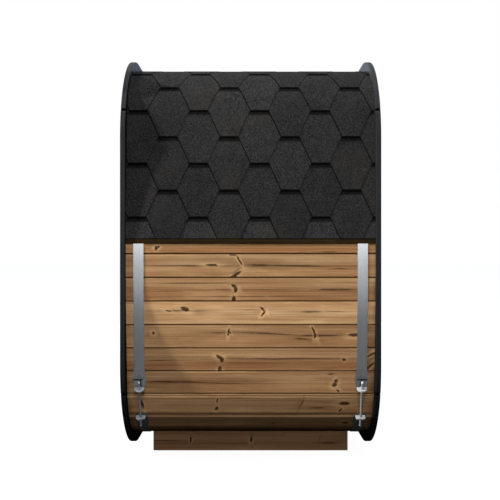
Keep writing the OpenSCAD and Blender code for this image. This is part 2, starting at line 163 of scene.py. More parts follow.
class Graph:
    """Builds the nodes of one material or world."""

    def __init__(self, owner: Union[str, bpy.types.World]) -> None:
        """Starts with nothing in it.

        Args:
            owner: A new material's name, or the world whose graph this is.
        """
        self.material = bpy.data.materials.new(owner) if isinstance(owner, str) else owner
        self.material.use_nodes = True
        self.tree = self.material.node_tree
        self.tree.nodes.clear()

    def node(
        self,
        kind: str,
        settings: Optional[dict] = None,
        inputs: Union[dict, Sequence[Value]] = (),
        out: Union[int, str] = 0,
    ) -> Wire:
        """Adds a node, sets it up and links it.

        Args:
            kind: The node's type.
            settings: Properties of the node; "stops" holds a colour ramp's stops.
            inputs: Values or wires, by socket name or in socket order.
            out: The output to return.

        Returns:
            The chosen output.
        """
        made = self.tree.nodes.new(kind)
        for key, value in (settings or {}).items():
            if key == "stops":
                self._set_stops(made, value)
            else:
                setattr(made, key, value)
        pairs = inputs.items() if isinstance(inputs, dict) else enumerate(inputs)
        for key, value in pairs:
            socket = made.inputs[key]
            if isinstance(value, Wire):
                self.tree.links.new(value.socket, socket)
            elif value is not None:
                socket.default_value = value
        return Wire(self, made.outputs[out] if len(made.outputs) else None)

    @staticmethod
    def _set_stops(ramp: bpy.types.Node, stops: Sequence[tuple]) -> None:
        """Gives a colour ramp its stops.

        Args:
            ramp: The ramp node.
            stops: Position and colour pairs, from low to high.
        """
        elements = ramp.color_ramp.elements
        while len(elements) < len(stops):
            elements.new(1.0)
        for element, (position, colour) in zip(elements, stops):
            element.position = position
            element.color = (*colour, 1.0)

    def mix(self, factor: Value, first: Value, second: Value, blend: str = "MIX") -> Wire:
        """Mixes two colours.

        Args:
            factor: Share of the second colour.
            first: First colour.
            second: Second colour.
            blend: The blend type.

        Returns:
            The mixed colour.
        """
        made = self.tree.nodes.new("ShaderNodeMix")
        made.data_type = "RGBA"
        made.blend_type = blend
        for index, value in ((0, factor), (6, first), (7, second)):
            if isinstance(value, Wire):
                self.tree.links.new(value.socket, made.inputs[index])
            elif index:
                made.inputs[index].default_value = (*value, 1.0)
            else:
                made.inputs[index].default_value = value
        return Wire(self, made.outputs[2])

    def vector(self, operation: str, *values: Value, out: int = 0) -> Wire:
        """Adds a Vector Math node.

        Args:
            operation: The node's operation.
            values: Its operands.
            out: The output to return.

        Returns:
            The result.
        """
        return self.node("ShaderNodeVectorMath", {"operation": operation}, values, out)

    def xyz(self, x: Value = 0.0, y: Value = 0.0, z: Value = 0.0) -> Wire:
        """A vector of three values."""
        return self.node("ShaderNodeCombineXYZ", {}, (x, y, z))

    def grey(self, value: Value) -> Wire:
        """A grey of the given value."""
        return self.node("ShaderNodeCombineColor", {}, (value, value, value))

    def noise(self, place: Wire, scale: Number, detail: Number = 2.0, rough: Number = 0.5) -> Wire:
        """A noise value from 0 to 1.

        Args:
            place: Where it is read.
            scale: Its scale.
            detail: Its octaves.
            rough: How strong the fine octaves are.

        Returns:
            The noise.
        """
        return self.node(
            "ShaderNodeTexNoise", {}, {"Vector": place, "Scale": scale, "Detail": detail, "Roughness": rough}
        )

    def stretched(self, place: Wire, scale: Sequence[float]) -> Wire:
        """A place with each axis scaled."""
        return self.vector("MULTIPLY", place, scale)

    def bump(self, height: Wire, distance: float, strength: float = 1.0) -> Wire:
        """A normal from a height.

        Args:
            height: The height, 0 to 1.
            distance: What a height of 1 means, in metres.
            strength: Share of the effect.

        Returns:
            The normal.
        """
        return self.node(
            "ShaderNodeBump", {}, {"Height": height, "Distance": distance, "Strength": strength}
        )

    def surface(self, **inputs: Value) -> bpy.types.Material:
        """Ends the material with a Principled shader.

        Args:
            inputs: Socket names, with underscores for spaces, and their values.

        Returns:
            The material.
        """
        named = {key.replace("_", " "): value for key, value in inputs.items()}
        shader = self.node("ShaderNodeBsdfPrincipled", {}, named)
        self.node("ShaderNodeOutputMaterial", {}, {"Surface": shader})
        return self.material


# ---------------------------------------------------------------- finishes
class MarkKind(Enum):
    """What kind of mark a board carries."""

    KNOT = "knot"
    STREAK = "streak"
    SHADE = "shade"
    WARM = "warm"
    HIGHLIGHT = "pale"
    RIM_SHADE = "rim_shade"
    COOL = "cool"


@dataclass(frozen=True)
class Mark:
    """A knot, a streak, a soft dark patch, a change of hue, a painted highlight or painted shade on a board."""

    board: int
    x: float
    up: float
    half_length: float
    half_width: float
    turn: float = 0.0
    kind: MarkKind = MarkKind.KNOT


@dataclass(frozen=True)
class PineFinish:
    """Planed pine, heat treated or stained, with grain, knots and streaks, and with a painted highlight on each board's
    upper edge and painted shade in its joints.
    """

    name: str
    light: tuple[float, float, float]
    dark: tuple[float, float, float]
    marks: tuple[Mark, ...] = ()
    knots_at_random: bool = True
    roughness: float = 0.62
    two_tone: float = 0.28
    half_face: float = 0.0534
    off_centre: float = 0.0073
    # Strength of the painted highlight on each board's upper edge.
    edge_highlight: float = 0.15

    def _nearest(self, graph: Graph, place: Wire, kind: MarkKind) -> Optional[Wire]:
        """Distance to the nearest mark, where 1 is a mark's own edge.

        Args:
            graph: The material's graph.
            place: Place on the boards.
            kind: The kind of mark that counts.

        Returns:
            The distance, or nothing where no mark is of this kind.
        """
        nearest = None
        chosen = [mark for mark in self.marks if mark.kind is kind]
        for turn in sorted({mark.turn for mark in chosen}):
            angle = math.radians(turn)
            rotation = Matrix.Rotation(-angle, 2)
            turned = place if not turn else graph.node(
                "ShaderNodeVectorRotate", {"rotation_type": "Z_AXIS"}, {"Vector": place, "Angle": -angle}
            )
            for mark in (m for m in chosen if m.turn == turn):
                centre = rotation @ Vector((mark.x, mark.board + mark.up))
                size = Vector((1 / mark.half_length, 1 / mark.half_width))
                offset = (-centre.x * size.x, -centre.y * size.y, 0.0)
                local = graph.vector("MULTIPLY_ADD", turned, (*size, 0.0), offset)
                distance = graph.vector("LENGTH", local, out=1)
                nearest = distance if nearest is None else nearest.smallest(distance)
        return nearest

    def material(self) -> bpy.types.Material:
        """Builds the material.

        Returns:
            The material.
        """
        g = Graph(self.name)
        uv = g.node("ShaderNodeUVMap", {"uv_map": GRAIN_UV})
        tone = g.node("ShaderNodeAttribute", {"attribute_name": TONE}, (), "Fac")
        wobble = g.noise(g.stretched(uv, (5.0, 26.0, 1.0)), 1.0, 3.0, 0.55) - 0.5
        sway = g.noise(g.stretched(uv, (1.3, 5.0, 1.0)), 1.0, 1.0) - 0.5
        ragged = g.noise(g.stretched(uv, (60.0, 75.0, 1.0)), 1.0, 3.0, 0.6) - 0.5
        frayed = g.noise(g.stretched(uv, (75.0, 90.0, 1.0)), 1.0, 2.0, 0.6) - 0.5
        near = g.vector("ADD", uv, g.xyz(ragged * 0.012 + wobble * 0.006, frayed * 0.008))
        knot = self._knots(g, near)
        halo = knot.ramp(4.2, 0.9)
        drawn = g.vector("ADD", uv, g.xyz(wobble * 0.03, wobble * 0.006 + ragged * 0.002))
        streak = self._nearest(g, drawn, MarkKind.STREAK)
        shade = self._nearest(g, drawn, MarkKind.SHADE)
        place = g.vector("ADD", uv, g.xyz(wobble * 0.010, wobble * 0.0035 + sway * 0.016 + halo * 0.007))

        fine = g.noise(g.stretched(place, (3.0, 420.0, 1.0)), 1.0, 3.0, 0.65)
        lines = g.noise(g.stretched(place, (1.1, 130.0, 1.0)), 1.0, 4.0, 0.68)
        broad = g.noise(g.stretched(place, (0.8, 24.0, 1.0)), 1.0, 2.0, 0.5)
        cloud = g.noise(g.stretched(uv, (2.4, 12.0, 1.0)), 1.0, 3.0, 0.6)
        grain = lines * 0.50 + fine * 0.30 + broad * 0.34 + cloud * 0.20
        late = grain.ramp(0.53, 0.84)
        colour = g.mix(late, self.light, self.dark)
        fibre = g.noise(g.stretched(place, (150.0, 260.0, 1.0)), 1.0, 2.0, 0.6).ramp(0.3, 0.7)
        colour = g.mix(fibre * 0.32, colour, self._scaled(self.dark, (0.8, 0.8, 0.8)))
        across = g.node("ShaderNodeSeparateXYZ", {}, (uv,), "Y")
        local = (across + 0.5).math("FRACT") - 0.5
        low_side = (local + sway * 0.05 + wobble * 0.008).ramp(0.014, -0.012)
        colour = g.mix(low_side * self.two_tone, colour, self._scaled((1.0, 1.0, 1.0), (0.94, 0.80, 0.66)), "MULTIPLY")
        warm = self._nearest(g, drawn, MarkKind.WARM)
        if warm is not None:
            colour = g.mix(warm.ramp(1.15, 0.85) * 0.85, colour, (0.84, 0.77, 0.74), "MULTIPLY")
        cool = self._nearest(g, drawn, MarkKind.COOL)
        if cool is not None:
            colour = g.mix(cool.ramp(1.2, 0.6) * 0.9, colour, (1.03, 1.14, 1.24), "MULTIPLY")
        # Painted highlight: the highlight marks make a thin band of a board much lighter.
        bright = self._nearest(g, drawn, MarkKind.HIGHLIGHT)
        if bright is not None:
            colour = g.mix(bright.ramp(1.2, 0.7) * 0.9, colour, (4.2, 4.2, 4.2), "MULTIPLY")
        # Painted shade: the rim-shade marks darken the board ends beside the rims.
        rim_shade = self._nearest(g, drawn, MarkKind.RIM_SHADE)
        if rim_shade is not None:
            colour = g.mix(rim_shade.ramp(1.0, 0.1) * 0.66, colour, (0.24, 0.21, 0.20), "MULTIPLY")
        pale = cloud.ramp(0.46, 0.30) * 0.22
        colour = g.mix(pale, colour, self._scaled(self.light, (1.28, 1.32, 1.32)))
        height = late * 0.35
        if shade is not None:
            patch = g.noise(g.stretched(uv, (9.0, 120.0, 1.0)), 1.0, 3.0, 0.6).ramp(0.3, 0.62, 0.35, 1.0)
            colour = g.mix(shade.ramp(1.5, 0.2) * patch * 0.42, colour, self._scaled(self.dark, (0.62, 0.56, 0.52)))
        if streak is not None:
            worn = g.noise(g.stretched(uv, (14.0, 60.0, 1.0)), 1.0, 3.0, 0.7)
            stain = streak.ramp(1.35, 0.45) * worn.ramp(0.26, 0.52, 0.6, 1.0)
            soft = streak.ramp(3.4, 0.8) * 0.32
            colour = g.mix(stain.largest(soft) * 0.88, colour, self._scaled(self.dark, (0.24, 0.20, 0.19)))
            height = height + stain * 0.6
        rings = (knot * 6.0).math("SINE") * 0.5 + 0.5
        side = wobble.ramp(-0.16, 0.12) * 0.9 + 0.1
        colour = g.mix(halo * side * 0.56, colour, self._scaled(self.light, (1.50, 1.56, 1.55)))
        colour = g.mix(halo * rings * 0.20, colour, self.dark)
        solid = g.noise(g.stretched(uv, (170.0, 260.0, 1.0)), 1.0, 2.0, 0.6).ramp(0.36, 0.56, 0.72, 1.0)
        core = knot.ramp(1.6, 0.9)
        colour = g.mix(core * solid * 0.98, colour, self._scaled(self.dark, (0.10, 0.08, 0.08)))
        height = height + core * 0.8
        # Painted highlight and painted shade: a light band on each board's upper edge stands in for light on its
        # rounded edge, and dark bands along its lower edge and at its very top stand in for the shade in the joints
        # between boards.
        inside = local < self.half_face * 2
        upper_edge = self.half_face + self.off_centre
        edge_band = local.ramp(upper_edge - 0.006, upper_edge - 0.003) * inside * self.edge_highlight
        colour = g.mix(edge_band, colour, self._scaled(self.light, (1.3, 1.3, 1.3)))
        joint_shade = local.ramp(-self.half_face + 0.0070, -self.half_face + 0.0026)
        joint_shade = joint_shade.largest(local.ramp(upper_edge - 0.0032, upper_edge - 0.0018) * inside) * 0.86
        colour = g.mix(joint_shade, colour, self._scaled(self.dark, (0.14, 0.14, 0.14)))
        colour = g.mix(1.0, colour, g.grey(tone), "MULTIPLY")
        return g.surface(
            Base_Color=colour,
            Roughness=late * 0.12 + self.roughness,
            Specular_IOR_Level=0.0,
            Normal=g.bump(height, 0.0006, 0.6),
        )

    @staticmethod
    def _scaled(colour: tuple[float, float, float], factors: tuple[float, float, float]) -> tuple:
        """A colour with each channel scaled."""
        return tuple(min(1.0, c * f) for c, f in zip(colour, factors))

    def _knots(self, graph: Graph, place: Wire) -> Wire:
        """Distance to the nearest knot, chosen or at random."""
        knot = self._nearest(graph, place, MarkKind.KNOT)
        if not self.knots_at_random and knot is not None:
            return knot
        cell = graph.node(
            "ShaderNodeTexVoronoi",
            {"voronoi_dimensions": "2D"},
            {"Vector": graph.vector("MULTIPLY_ADD", place, (0.5, 1.0, 1.0), (13.7, 0.31, 0.0)), "Scale": 3.6},
        )
        size = graph.noise(graph.stretched(place, (2.0, 3.0, 1.0)), 1.0, 1.0).ramp(0.35, 0.65, 46.0, 24.0)
        scattered = cell * size
        return scattered if knot is None else scattered.smallest(knot)


@dataclass(frozen=True)
class PaintFinish:
    """Opaque dark stain on planed boards, darkest in the joints at the given heights; painted shade darkens it towards
    the bottom and on the inner faces, and a painted highlight and a painted sky reflection lighten the lips under the
    joints and the inner faces' tops.
    """

    name: str
    colour: tuple[float, float, float]
    joints: tuple[float, ...] = ()
    roughness: float = 0.5

    def material(self) -> bpy.types.Material:
        """Builds the material.

        Returns:
            The material.
        """
        g = Graph(self.name)
        uv = g.node("ShaderNodeUVMap", {"uv_map": GRAIN_UV})
        brush = g.noise(g.stretched(uv, (3.0, 260.0, 1.0)), 1.0, 3.0, 0.6)
        cloud = g.noise(g.stretched(uv, (6.0, 16.0, 1.0)), 1.0, 3.0, 0.6)
        worn = tuple(c * 1.5 + 0.002 for c in self.colour)
        colour = g.mix(brush.ramp(0.42, 0.72) * 0.5, self.colour, worn)
        colour = g.mix(cloud.ramp(0.45, 0.75) * 0.5, colour, tuple(c * 0.7 for c in self.colour))
        place = g.node("ShaderNodeTexCoord", {}, (), "Object")
        along = g.node("ShaderNodeSeparateXYZ", {}, (place,), "X")
        up = g.node("ShaderNodeSeparateXYZ", {}, (place,), "Z")
        # Painted shade: the stain darkens towards the bottom.
        colour = g.mix(up.ramp(1.3, 0.3) * 0.66, colour, tuple(c * 0.25 for c in self.colour))
        normal = g.node("ShaderNodeNewGeometry", {}, (), "Normal")
        facing = g.node("ShaderNodeSeparateXYZ", {}, (normal,), "X")
        flat = facing.math("ABSOLUTE").ramp(0.6, 0.8)
        side = flat * (facing * along).ramp(-0.1, -0.3)
        # Painted shade darkens the rims' inner faces below the top; a painted reflection of the sky, bluer and lighter
        # on the left rim, lightens them at the top.
        colour = g.mix(up.ramp(1.96, 1.90) * side * 0.55, colour, (0.0, 0.0, 0.0))
        sky_reflection = g.mix(along.ramp(-0.1, 0.1), (0.051, 0.074, 0.124), (0.0286, 0.0342, 0.0458))
        colour = g.mix(up.ramp(1.96, 2.03) * side * 0.9, colour, sky_reflection)
        for joint in self.joints:
            gap = (up - joint).math("ABSOLUTE").ramp(0.0080, 0.0050) * (1.0 - flat)
            # Painted highlight: the lip just under each joint is lighter than the stain.
            lip = (up - (joint - 0.0110)).math("ABSOLUTE").ramp(0.004, 0.001) * (1.0 - flat)
            colour = g.mix(lip * 0.6, colour, (0.030, 0.033, 0.040))
            colour = g.mix(gap * 0.95, colour, (0.0, 0.0, 0.0))
        return g.surface(
            Base_Color=colour,
            Roughness=cloud * 0.2 + (self.roughness - 0.1),
            Specular_IOR_Level=0.0,
            Coat_Weight=up.ramp(1.75, 2.0) * 0.26,
            Coat_Roughness=0.4,
            Normal=g.bump(brush, 0.0005, 0.5),
        )


@dataclass(frozen=True)
class GranuleFinish:
    """Mineral granules on bitumen felt, with painted shade along a tab's edges and in a band under the next tab."""

    name: str
    dark: tuple[float, float, float]
    light: tuple[float, float, float]
    half_bottom: float = 0.046
    flare: float = 0.454
    reach: float = 0.262
    band: float = 0.030
    line: float = 0.0035

    def material(self) -> bpy.types.Material:
        """Builds the material.

        Returns:
            The material.
        """
        g = Graph(self.name)
        uv = g.node("ShaderNodeUVMap", {"uv_map": GRAIN_UV})
        tone = g.node("ShaderNodeAttribute", {"attribute_name": TONE}, (), "Fac")
        place = g.node("ShaderNodeTexCoord", {}, (), "Object")
        across = g.node("ShaderNodeSeparateXYZ", {}, (uv,), "X")
        up = g.node("ShaderNodeSeparateXYZ", {}, (uv,), "Y")
        fray = (g.noise(place, 260.0, 2.0) - 0.5) * 0.004
        grit = g.node("ShaderNodeTexVoronoi", {}, {"Vector": place, "Scale": 330.0}, "Color")
        grey = g.node("ShaderNodeSeparateColor", {}, (grit,))
        patch = g.noise(place, 14.0, 4.0, 0.65)
        speck = g.noise(place, 120.0, 2.0, 0.75)
        mixed = grey * 0.50 + speck * 0.40 + patch * 0.22
        colour = g.mix(mixed.ramp(0.30, 0.86), self.dark, self.light)
        rusty = g.noise(place, 5.0, 2.0).ramp(0.45, 0.7) * 0.2
        colour = g.mix(rusty, colour, tuple(c * f for c, f in zip(self.light, (1.05, 0.98, 0.86))))
        left = (up * self.flare + self.half_bottom + across) * 0.91 + fray
        right = (up * self.flare + self.half_bottom - across) * 0.91 + fray
        below = up + fray
        # Painted shadow: dark lines along a tab's sloping edges, darker on the left ones, a dark line just under the
        # next tab's lower edge and a dark line along the tab's own lower edge stand in for the shadows of the steps
        # between tabs. The band under the next tab is darker granules as printed on such shingles, deepened into
        # painted shadow.
        edge = left.ramp(self.line * 0.9, self.line * 1.9, 0.92, 0.0)
        edge = edge.largest(right.ramp(self.line * 0.5, self.line * 1.3, 0.55, 0.0))
        under = (up + fray * 2.0).ramp(self.reach - self.band, self.reach - self.band * 0.6, 0.0, 0.76)
        lip = (up + fray).ramp(self.reach - 0.0135, self.reach - 0.0095, 0.0, 0.97)
        rim = below.ramp(0.001, 0.0045, 0.72, 0.0)
        dim = edge.largest(under).largest(lip).largest(rim)
        shade = (1.0 - dim) * tone
        shade = g.node("ShaderNodeCombineColor", {}, (shade, shade, shade))
        colour = g.mix(1.0, colour, shade, "MULTIPLY")
        return g.surface(
            Base_Color=colour,
            Roughness=0.92,
            Specular_IOR_Level=0.02,
            Normal=g.bump(grey * 0.7 + speck * 0.5, 0.0010, 0.6),
        )


@dataclass(frozen=True)
class ZincFinish:
    """Galvanised steel, drawn along its length."""

    name: str
    colour: tuple[float, float, float]
    roughness: float = 0.34
    metallic: float = 1.0

    def material(self) -> bpy.types.Material:
        """Builds the material.

        Returns:
            The material.
        """
        g = Graph(self.name)
        place = g.node("ShaderNodeTexCoord", {}, (), "Object")
        tone = g.node("ShaderNodeAttribute", {"attribute_name": TONE}, (), "Fac")
        drawn = g.noise(g.stretched(place, (420.0, 0.8, 0.8)), 1.0, 3.0, 0.6)
        cloud = g.noise(place, 3.0, 2.0, 0.5)
        mixed = drawn * 0.75 + cloud * 0.25
        dull = tuple(c * 0.90 for c in self.colour)
        bright = tuple(min(1.0, c * 1.08) for c in self.colour)
        colour = g.mix(mixed.ramp(0.3, 0.7), dull, bright)
        return g.surface(
            Base_Color=g.vector("SCALE", colour, None, None, tone),
            Metallic=self.metallic,
            Specular_IOR_Level=0.1 * self.metallic,
            Roughness=mixed * 0.06 + (self.roughness - 0.03),
            Normal=g.bump(drawn, 0.00005, 0.2),
        )


@dataclass(frozen=True)
class GlassFinish:
    """Tinted door glass."""

    name: str
    colour: tuple[float, float, float]

    def material(self) -> bpy.types.Material:
        """Builds the material.

        Returns:
            The material.
        """
        g = Graph(self.name)
        place = g.node("ShaderNodeTexCoord", {}, (), "Object")
        smear = g.noise(place, 7.0, 3.0, 0.6)
        return g.surface(
            Base_Color=(*self.colour, 1.0),
            Roughness=smear.ramp(0.4, 0.8) * 0.03 + 0.02,
            Transmission_Weight=1.0,
            IOR=1.45,
        )


# ---------------------------------------------------------------- marks of the seen wall
def _knot(board: int, x: float, up: float, length: float, width: float, turn: float = 0.0) -> Mark:
    """A dark knot, sizes in millimetres."""
    return Mark(board, x, up / 1000, length / 830, width / 600, turn, MarkKind.KNOT)


def _streak(board: int, x: float, up: float, length: float, width: float, turn: float = 0.0) -> Mark:
    """A dark streak along the grain, sizes in millimetres."""
    return Mark(board, x, up / 1000, length / 1000, width / 680, turn, MarkKind.STREAK)


def _shade(board: int, x: float, up: float, length: float, width: float, turn: float = 0.0) -> Mark:
    """A soft dark patch, sizes in millimetres."""
    return Mark(board, x, up / 1000, length / 1000, width / 1000, turn, MarkKind.SHADE)


def _highlight(board: int, x: float, up: float, length: float, width: float, turn: float = 0.0) -> Mark:
    """A painted highlight in a band along a board, sizes in millimetres."""
    return Mark(board, x, up / 1000, length / 1000, width / 1000, turn, MarkKind.HIGHLIGHT)


def _warm(board: int, x: float, up: float, length: float, width: float, turn: float = 0.0) -> Mark:
    """A redder zone, sizes in millimetres."""
    return Mark(board, x, up / 1000, length / 1000, width / 1000, turn, MarkKind.WARM)


def _cool(board: int, x: float, up: float, length: float, width: float, turn: float = 0.0) -> Mark:
    """A yellower, less red zone, sizes in millimetres."""
    return Mark(board, x, up / 1000, length / 1000, width / 1000, turn, MarkKind.COOL)


def _rim_shade(board: int, x: float, up: float, length: float, width: float, turn: float = 0.0) -> Mark:
    """Painted shade at a board's end beside a rim, sizes in millimetres."""
    return Mark(board, x, up / 1000, length / 1000, width / 1000, turn, MarkKind.RIM_SHADE)


SEEN_MARKS = (
    _knot(0, -0.455, -26, 8, 4, 70),
    _knot(0, -0.445, -20, 5, 2.5, 0),
    _shade(0, 0.246, -43, 17, 11),
    _streak(0, 0.375, -43, 48, 1.6),
    _warm(0, 0.05, -44, 1500, 20),
    _streak(1, -0.28, 4, 240, 2.4),
    _knot(1, -0.190, 8, 17, 2.6),
    _knot(1, -0.170, 8, 7, 2.0, -30),
    _streak(1, 0.025, 6, 95, 6.2),
    _streak(1, 0.200, 4, 190, 3.8, -1),
    _shade(1, -0.27, -26, 170, 20),
    _shade(1, 0.130, -10, 75, 9),
    _streak(1, 0.427, -11, 50, 1.6),
    _knot(1, -0.055, 31, 18, 2.4, -60),
    _streak(1, -0.070, -21, 36, 2.6, 35),
    _knot(1, -0.073, -40, 21, 3.8, 33),
    _knot(1, -0.087, -53, 13, 3),
    _knot(1, -0.086, 56, 12, 2),
    _knot(2, -0.078, 18, 12, 3.8, -38),
    _streak(2, -0.30, 35, 150, 1.5),
    _knot(2, -0.0725, 1, 8, 4.6, 80),
    _knot(2, -0.0815, -45, 12, 4.8, 88),
    _streak(2, -0.0825, -33, 14, 2.6, 88),
    _streak(2, -0.01, 3, 260, 1.5),
    _streak(2, 0.405, 4, 130, 4.6),
    _warm(2, 0.0, -30, 900, 33),
    _streak(2, 0.02, -30, 320, 1.2),
    _knot(3, -0.318, 24, 14, 4.8, -18),
    _streak(3, -0.295, 17, 28, 2.2, -14),
    _streak(3, -0.350, 16, 90, 3.2, 1),
    _streak(3, -0.260, 14, 60, 1.8, 1),
    _knot(3, -0.398, 15, 10, 1.8, -8),
    _knot(3, 0.058, 23, 12, 2.6, -42),
    _knot(3, 0.062, 2, 12, 2.8, 54),
    _shade(3, 0.035, 8, 30, 10),
    _streak(3, 0.0, 20, 50, 1.2),
    _streak(3, 0.289, 10, 60, 3.4),
    _streak(3, 0.410, 12, 60, 1.2),
    _knot(4, -0.47, 21, 5, 4),
    _streak(4, -0.470, 21, 14, 1.4),
    _knot(4, -0.1065, 26, 13, 2.4, 82),
    _knot(4, -0.0980, 24, 6, 1.8, -50),
    _streak(4, -0.153, 23, 50, 1.8),
    _streak(4, 0.09, 18, 160, 3.0, -2.5),
    _streak(4, 0.33, 9, 130, 3.6),
    _shade(4, -0.33, -16, 130, 34),
    _knot(4, 0.502, 12, 19, 4.0),
    _streak(4, 0.475, 11, 30, 1.8),
    _knot(4, 0.306, 30, 19, 2.4, -66),
    _knot(4, 0.312, 8, 9, 2.6, 85),
    _streak(4, 0.248, -6, 44, 3.0, -4),
    _knot(5, -0.151, 16, 13, 4.4, -34),
    _knot(5, -0.140, 4, 9, 4.8, 80),
    _knot(5, -0.150, -43, 10, 4.6, 85),
    _streak(5, -0.438, 2, 90, 1.9),
    _streak(5, 0.160, 9.5, 380, 3.3),
    _streak(5, 0.020, -12, 180, 1.2),
    _warm(5, 0.0, -30, 900, 34),
    _knot(5, 0.454, 4, 6, 3.4),
    _streak(5, 0.454, 4, 22, 1.4),
    _knot(5, 0.577, -31, 21, 3.2, 42),
    _knot(5, 0.586, 30, 16, 3.0, 30),
    _streak(6, -0.385, 7, 150, 3.8),
    _streak(6, -0.290, 5, 170, 2.2, -1),
    _streak(6, -0.12, -2, 90, 1.3),
    _shade(6, 0.395, 46, 24, 10),
    _knot(6, 0.390, 46, 8, 2.0, 10),
    _shade(6, -0.05, -22, 190, 26),
    _shade(6, -0.30, -22, 260, 24),
    _shade(6, -0.17, 28, 210, 26),
    _knot(6, 0.4165, 12, 6, 4.0),
    _knot(6, 0.4095, -7, 9, 5.2, 40),
    _knot(6, 0.4270, -38, 5.5, 3.4, -40),
    _knot(7, -0.534, 4, 18, 3.4, -75),
    _knot(7, -0.163, 22, 8, 2.4, 78),
    _knot(7, -0.167, -24, 8, 3.6, 60),
    _shade(7, -0.165, 2, 12, 26),
    _knot(7, 0.4600, 5, 17, 5.0),
    _knot(7, 0.442, -34, 10, 2.2, 50),
    _shade(7, 0.442, -34, 16, 12, 50),
    _shade(7, 0.230, 8, 8, 30, -18),
    _streak(7, 0.331, -20, 40, 3.2),
    _streak(7, 0.247, -2, 30, 2.2, 72),
    _streak(8, 0.112, -22, 20, 2, 10),
    _knot(8, 0.112, -20, 6, 2),
    _knot(8, 0.475, -20, 12, 4),
    # Painted highlights along the upper edges of boards 8 and 7.
    _highlight(8, 0.0, 39, 1500, 9),
    _highlight(7, 0.0, 42, 1500, 1.7),
    # Painted shade: a wide streak over the lower part of board 9 darkens it where it curves under.
    _streak(9, 0.0, -30, 1200, 30),
    _cool(1, 0.0, 24, 500, 34),
    _cool(3, -0.05, -27, 900, 56),
    _shade(6, -0.04, 20, 280, 30),
    _shade(0, -0.34, -40, 200, 22),
    # Painted shade at the board ends beside both rims.
    _rim_shade(2, 0.612, 0, 40, 120),
    _rim_shade(3, 0.607, 0, 46, 120),
    *(_rim_shade(board, 0.600, -10, 58, 120) for board in (4, 5)),
    _rim_shade(6, 0.610, -20, 50, 120),
    *(_rim_shade(board, 0.622, 0, 60, 120) for board in (7, 8)),
    *(_rim_shade(board, -0.622, -20, 22 * board - 86, 120) for board in (5, 6, 7, 8)),
)
# Tones of the seen boards from the top; the low tones of the last two are painted shade on the staves that curve under
# the cabin.
SEEN_TONES = (0.90, 0.86, 0.86, 1.19, 0.89, 0.88, 0.83, 0.92, 0.56, 0.42)
BASE_MARKS = (
    _knot(200, -0.322, -6, 11, 2.7, 88),
    _shade(200, -0.322, 0, 10, 26),
    _streak(200, -0.46, -10, 90, 2.0),
    _knot(200, 0.004, -4, 9, 2.9, 85),
    _streak(200, 0.004, 4, 26, 3, 90),
    _shade(200, 0.376, 4, 8, 26, -10),
    _streak(200, 0.420, -22, 40, 3),
)


# ---------------------------------------------------------------- making pieces
def solid_copy(node: str) -> bmesh.types.BMesh:
    """Copies a CAD node's mesh, welded and with its flat faces whole.

    Args:
        node: The CAD node.

    Returns:
        The copy.
    """
    bm = bmesh.new()
    bm.from_mesh(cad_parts[node].data)
    bm.loops.layers.uv.new(GRAIN_UV)
    bm.faces.layers.float.new(TONE)
    bmesh.ops.remove_doubles(bm, verts=bm.verts[:], dist=1e-5)
    bmesh.ops.dissolve_limit(
        bm, angle_limit=math.radians(0.3), verts=bm.verts[:], edges=bm.edges[:], use_dissolve_boundaries=False
    )
    return bm


def loose_parts(bm: bmesh.types.BMesh) -> list[list[bmesh.types.BMFace]]:
    """Sorts a mesh's faces into its separate solids.

    Args:
        bm: The mesh.

    Returns:
        The faces of each solid.
    """
    left = set(bm.faces)
    parts = []
    while left:
        start = left.pop()
        part, queue = [start], [start]
        while queue:
            face = queue.pop()
            for edge in face.edges:
                for other in edge.link_faces:
                    if other in left:
                        left.remove(other)
                        part.append(other)
                        queue.append(other)
        parts.append(part)
    return parts


def middle(faces: Iterable[bmesh.types.BMFace]) -> Vector:
    """The middle of the box round some faces."""
    points = [v.co for f in faces for v in f.verts]
    low = Vector(map(min, zip(*points)))
    high = Vector(map(max, zip(*points)))
    return (low + high) / 2


def lay_grain(
    bm: bmesh.types.BMesh,
    faces: Iterable[bmesh.types.BMFace],
    along: Vector,
    board: int,
    tone: float,
    facing: Optional[Vector] = None,
) -> None:
    """Unwraps one board so that its grain runs along it, on a place of its own.

    Args:
        bm: The mesh.
        faces: The board's faces.
        along: Direction of the grain.
        board: The board's number, which sets it apart from the others.
        tone: How light it is.
        facing: Direction that its best face looks in.
    """
    uv, shade = bm.loops.layers.uv[GRAIN_UV], bm.faces.layers.float[TONE]
    faces = list(faces)
    centre = middle(faces)
    best = facing.normalized() if facing else None
    for face in faces:
        face[shade] = tone
        normal = face.normal
        ends = abs(normal.dot(along)) > 0.9
        if best and normal.dot(best) > 0.6:
            across = along.cross(best).normalized()
        else:
            across = along.cross(normal).normalized() if not ends else along.orthogonal().normalized()
        along_face = along if not ends else along.cross(across)
        if across.z < -1e-6:
            across = -across
        shift = 0.0 if best and normal.dot(best) > 0.6 else 0.3
        for loop in face.loops:
            point = loop.vert.co - centre
            u = loop.vert.co.dot(along_face) if not ends else point.dot(along_face)
            loop[uv].uv = (u, board + point.dot(across) + shift)


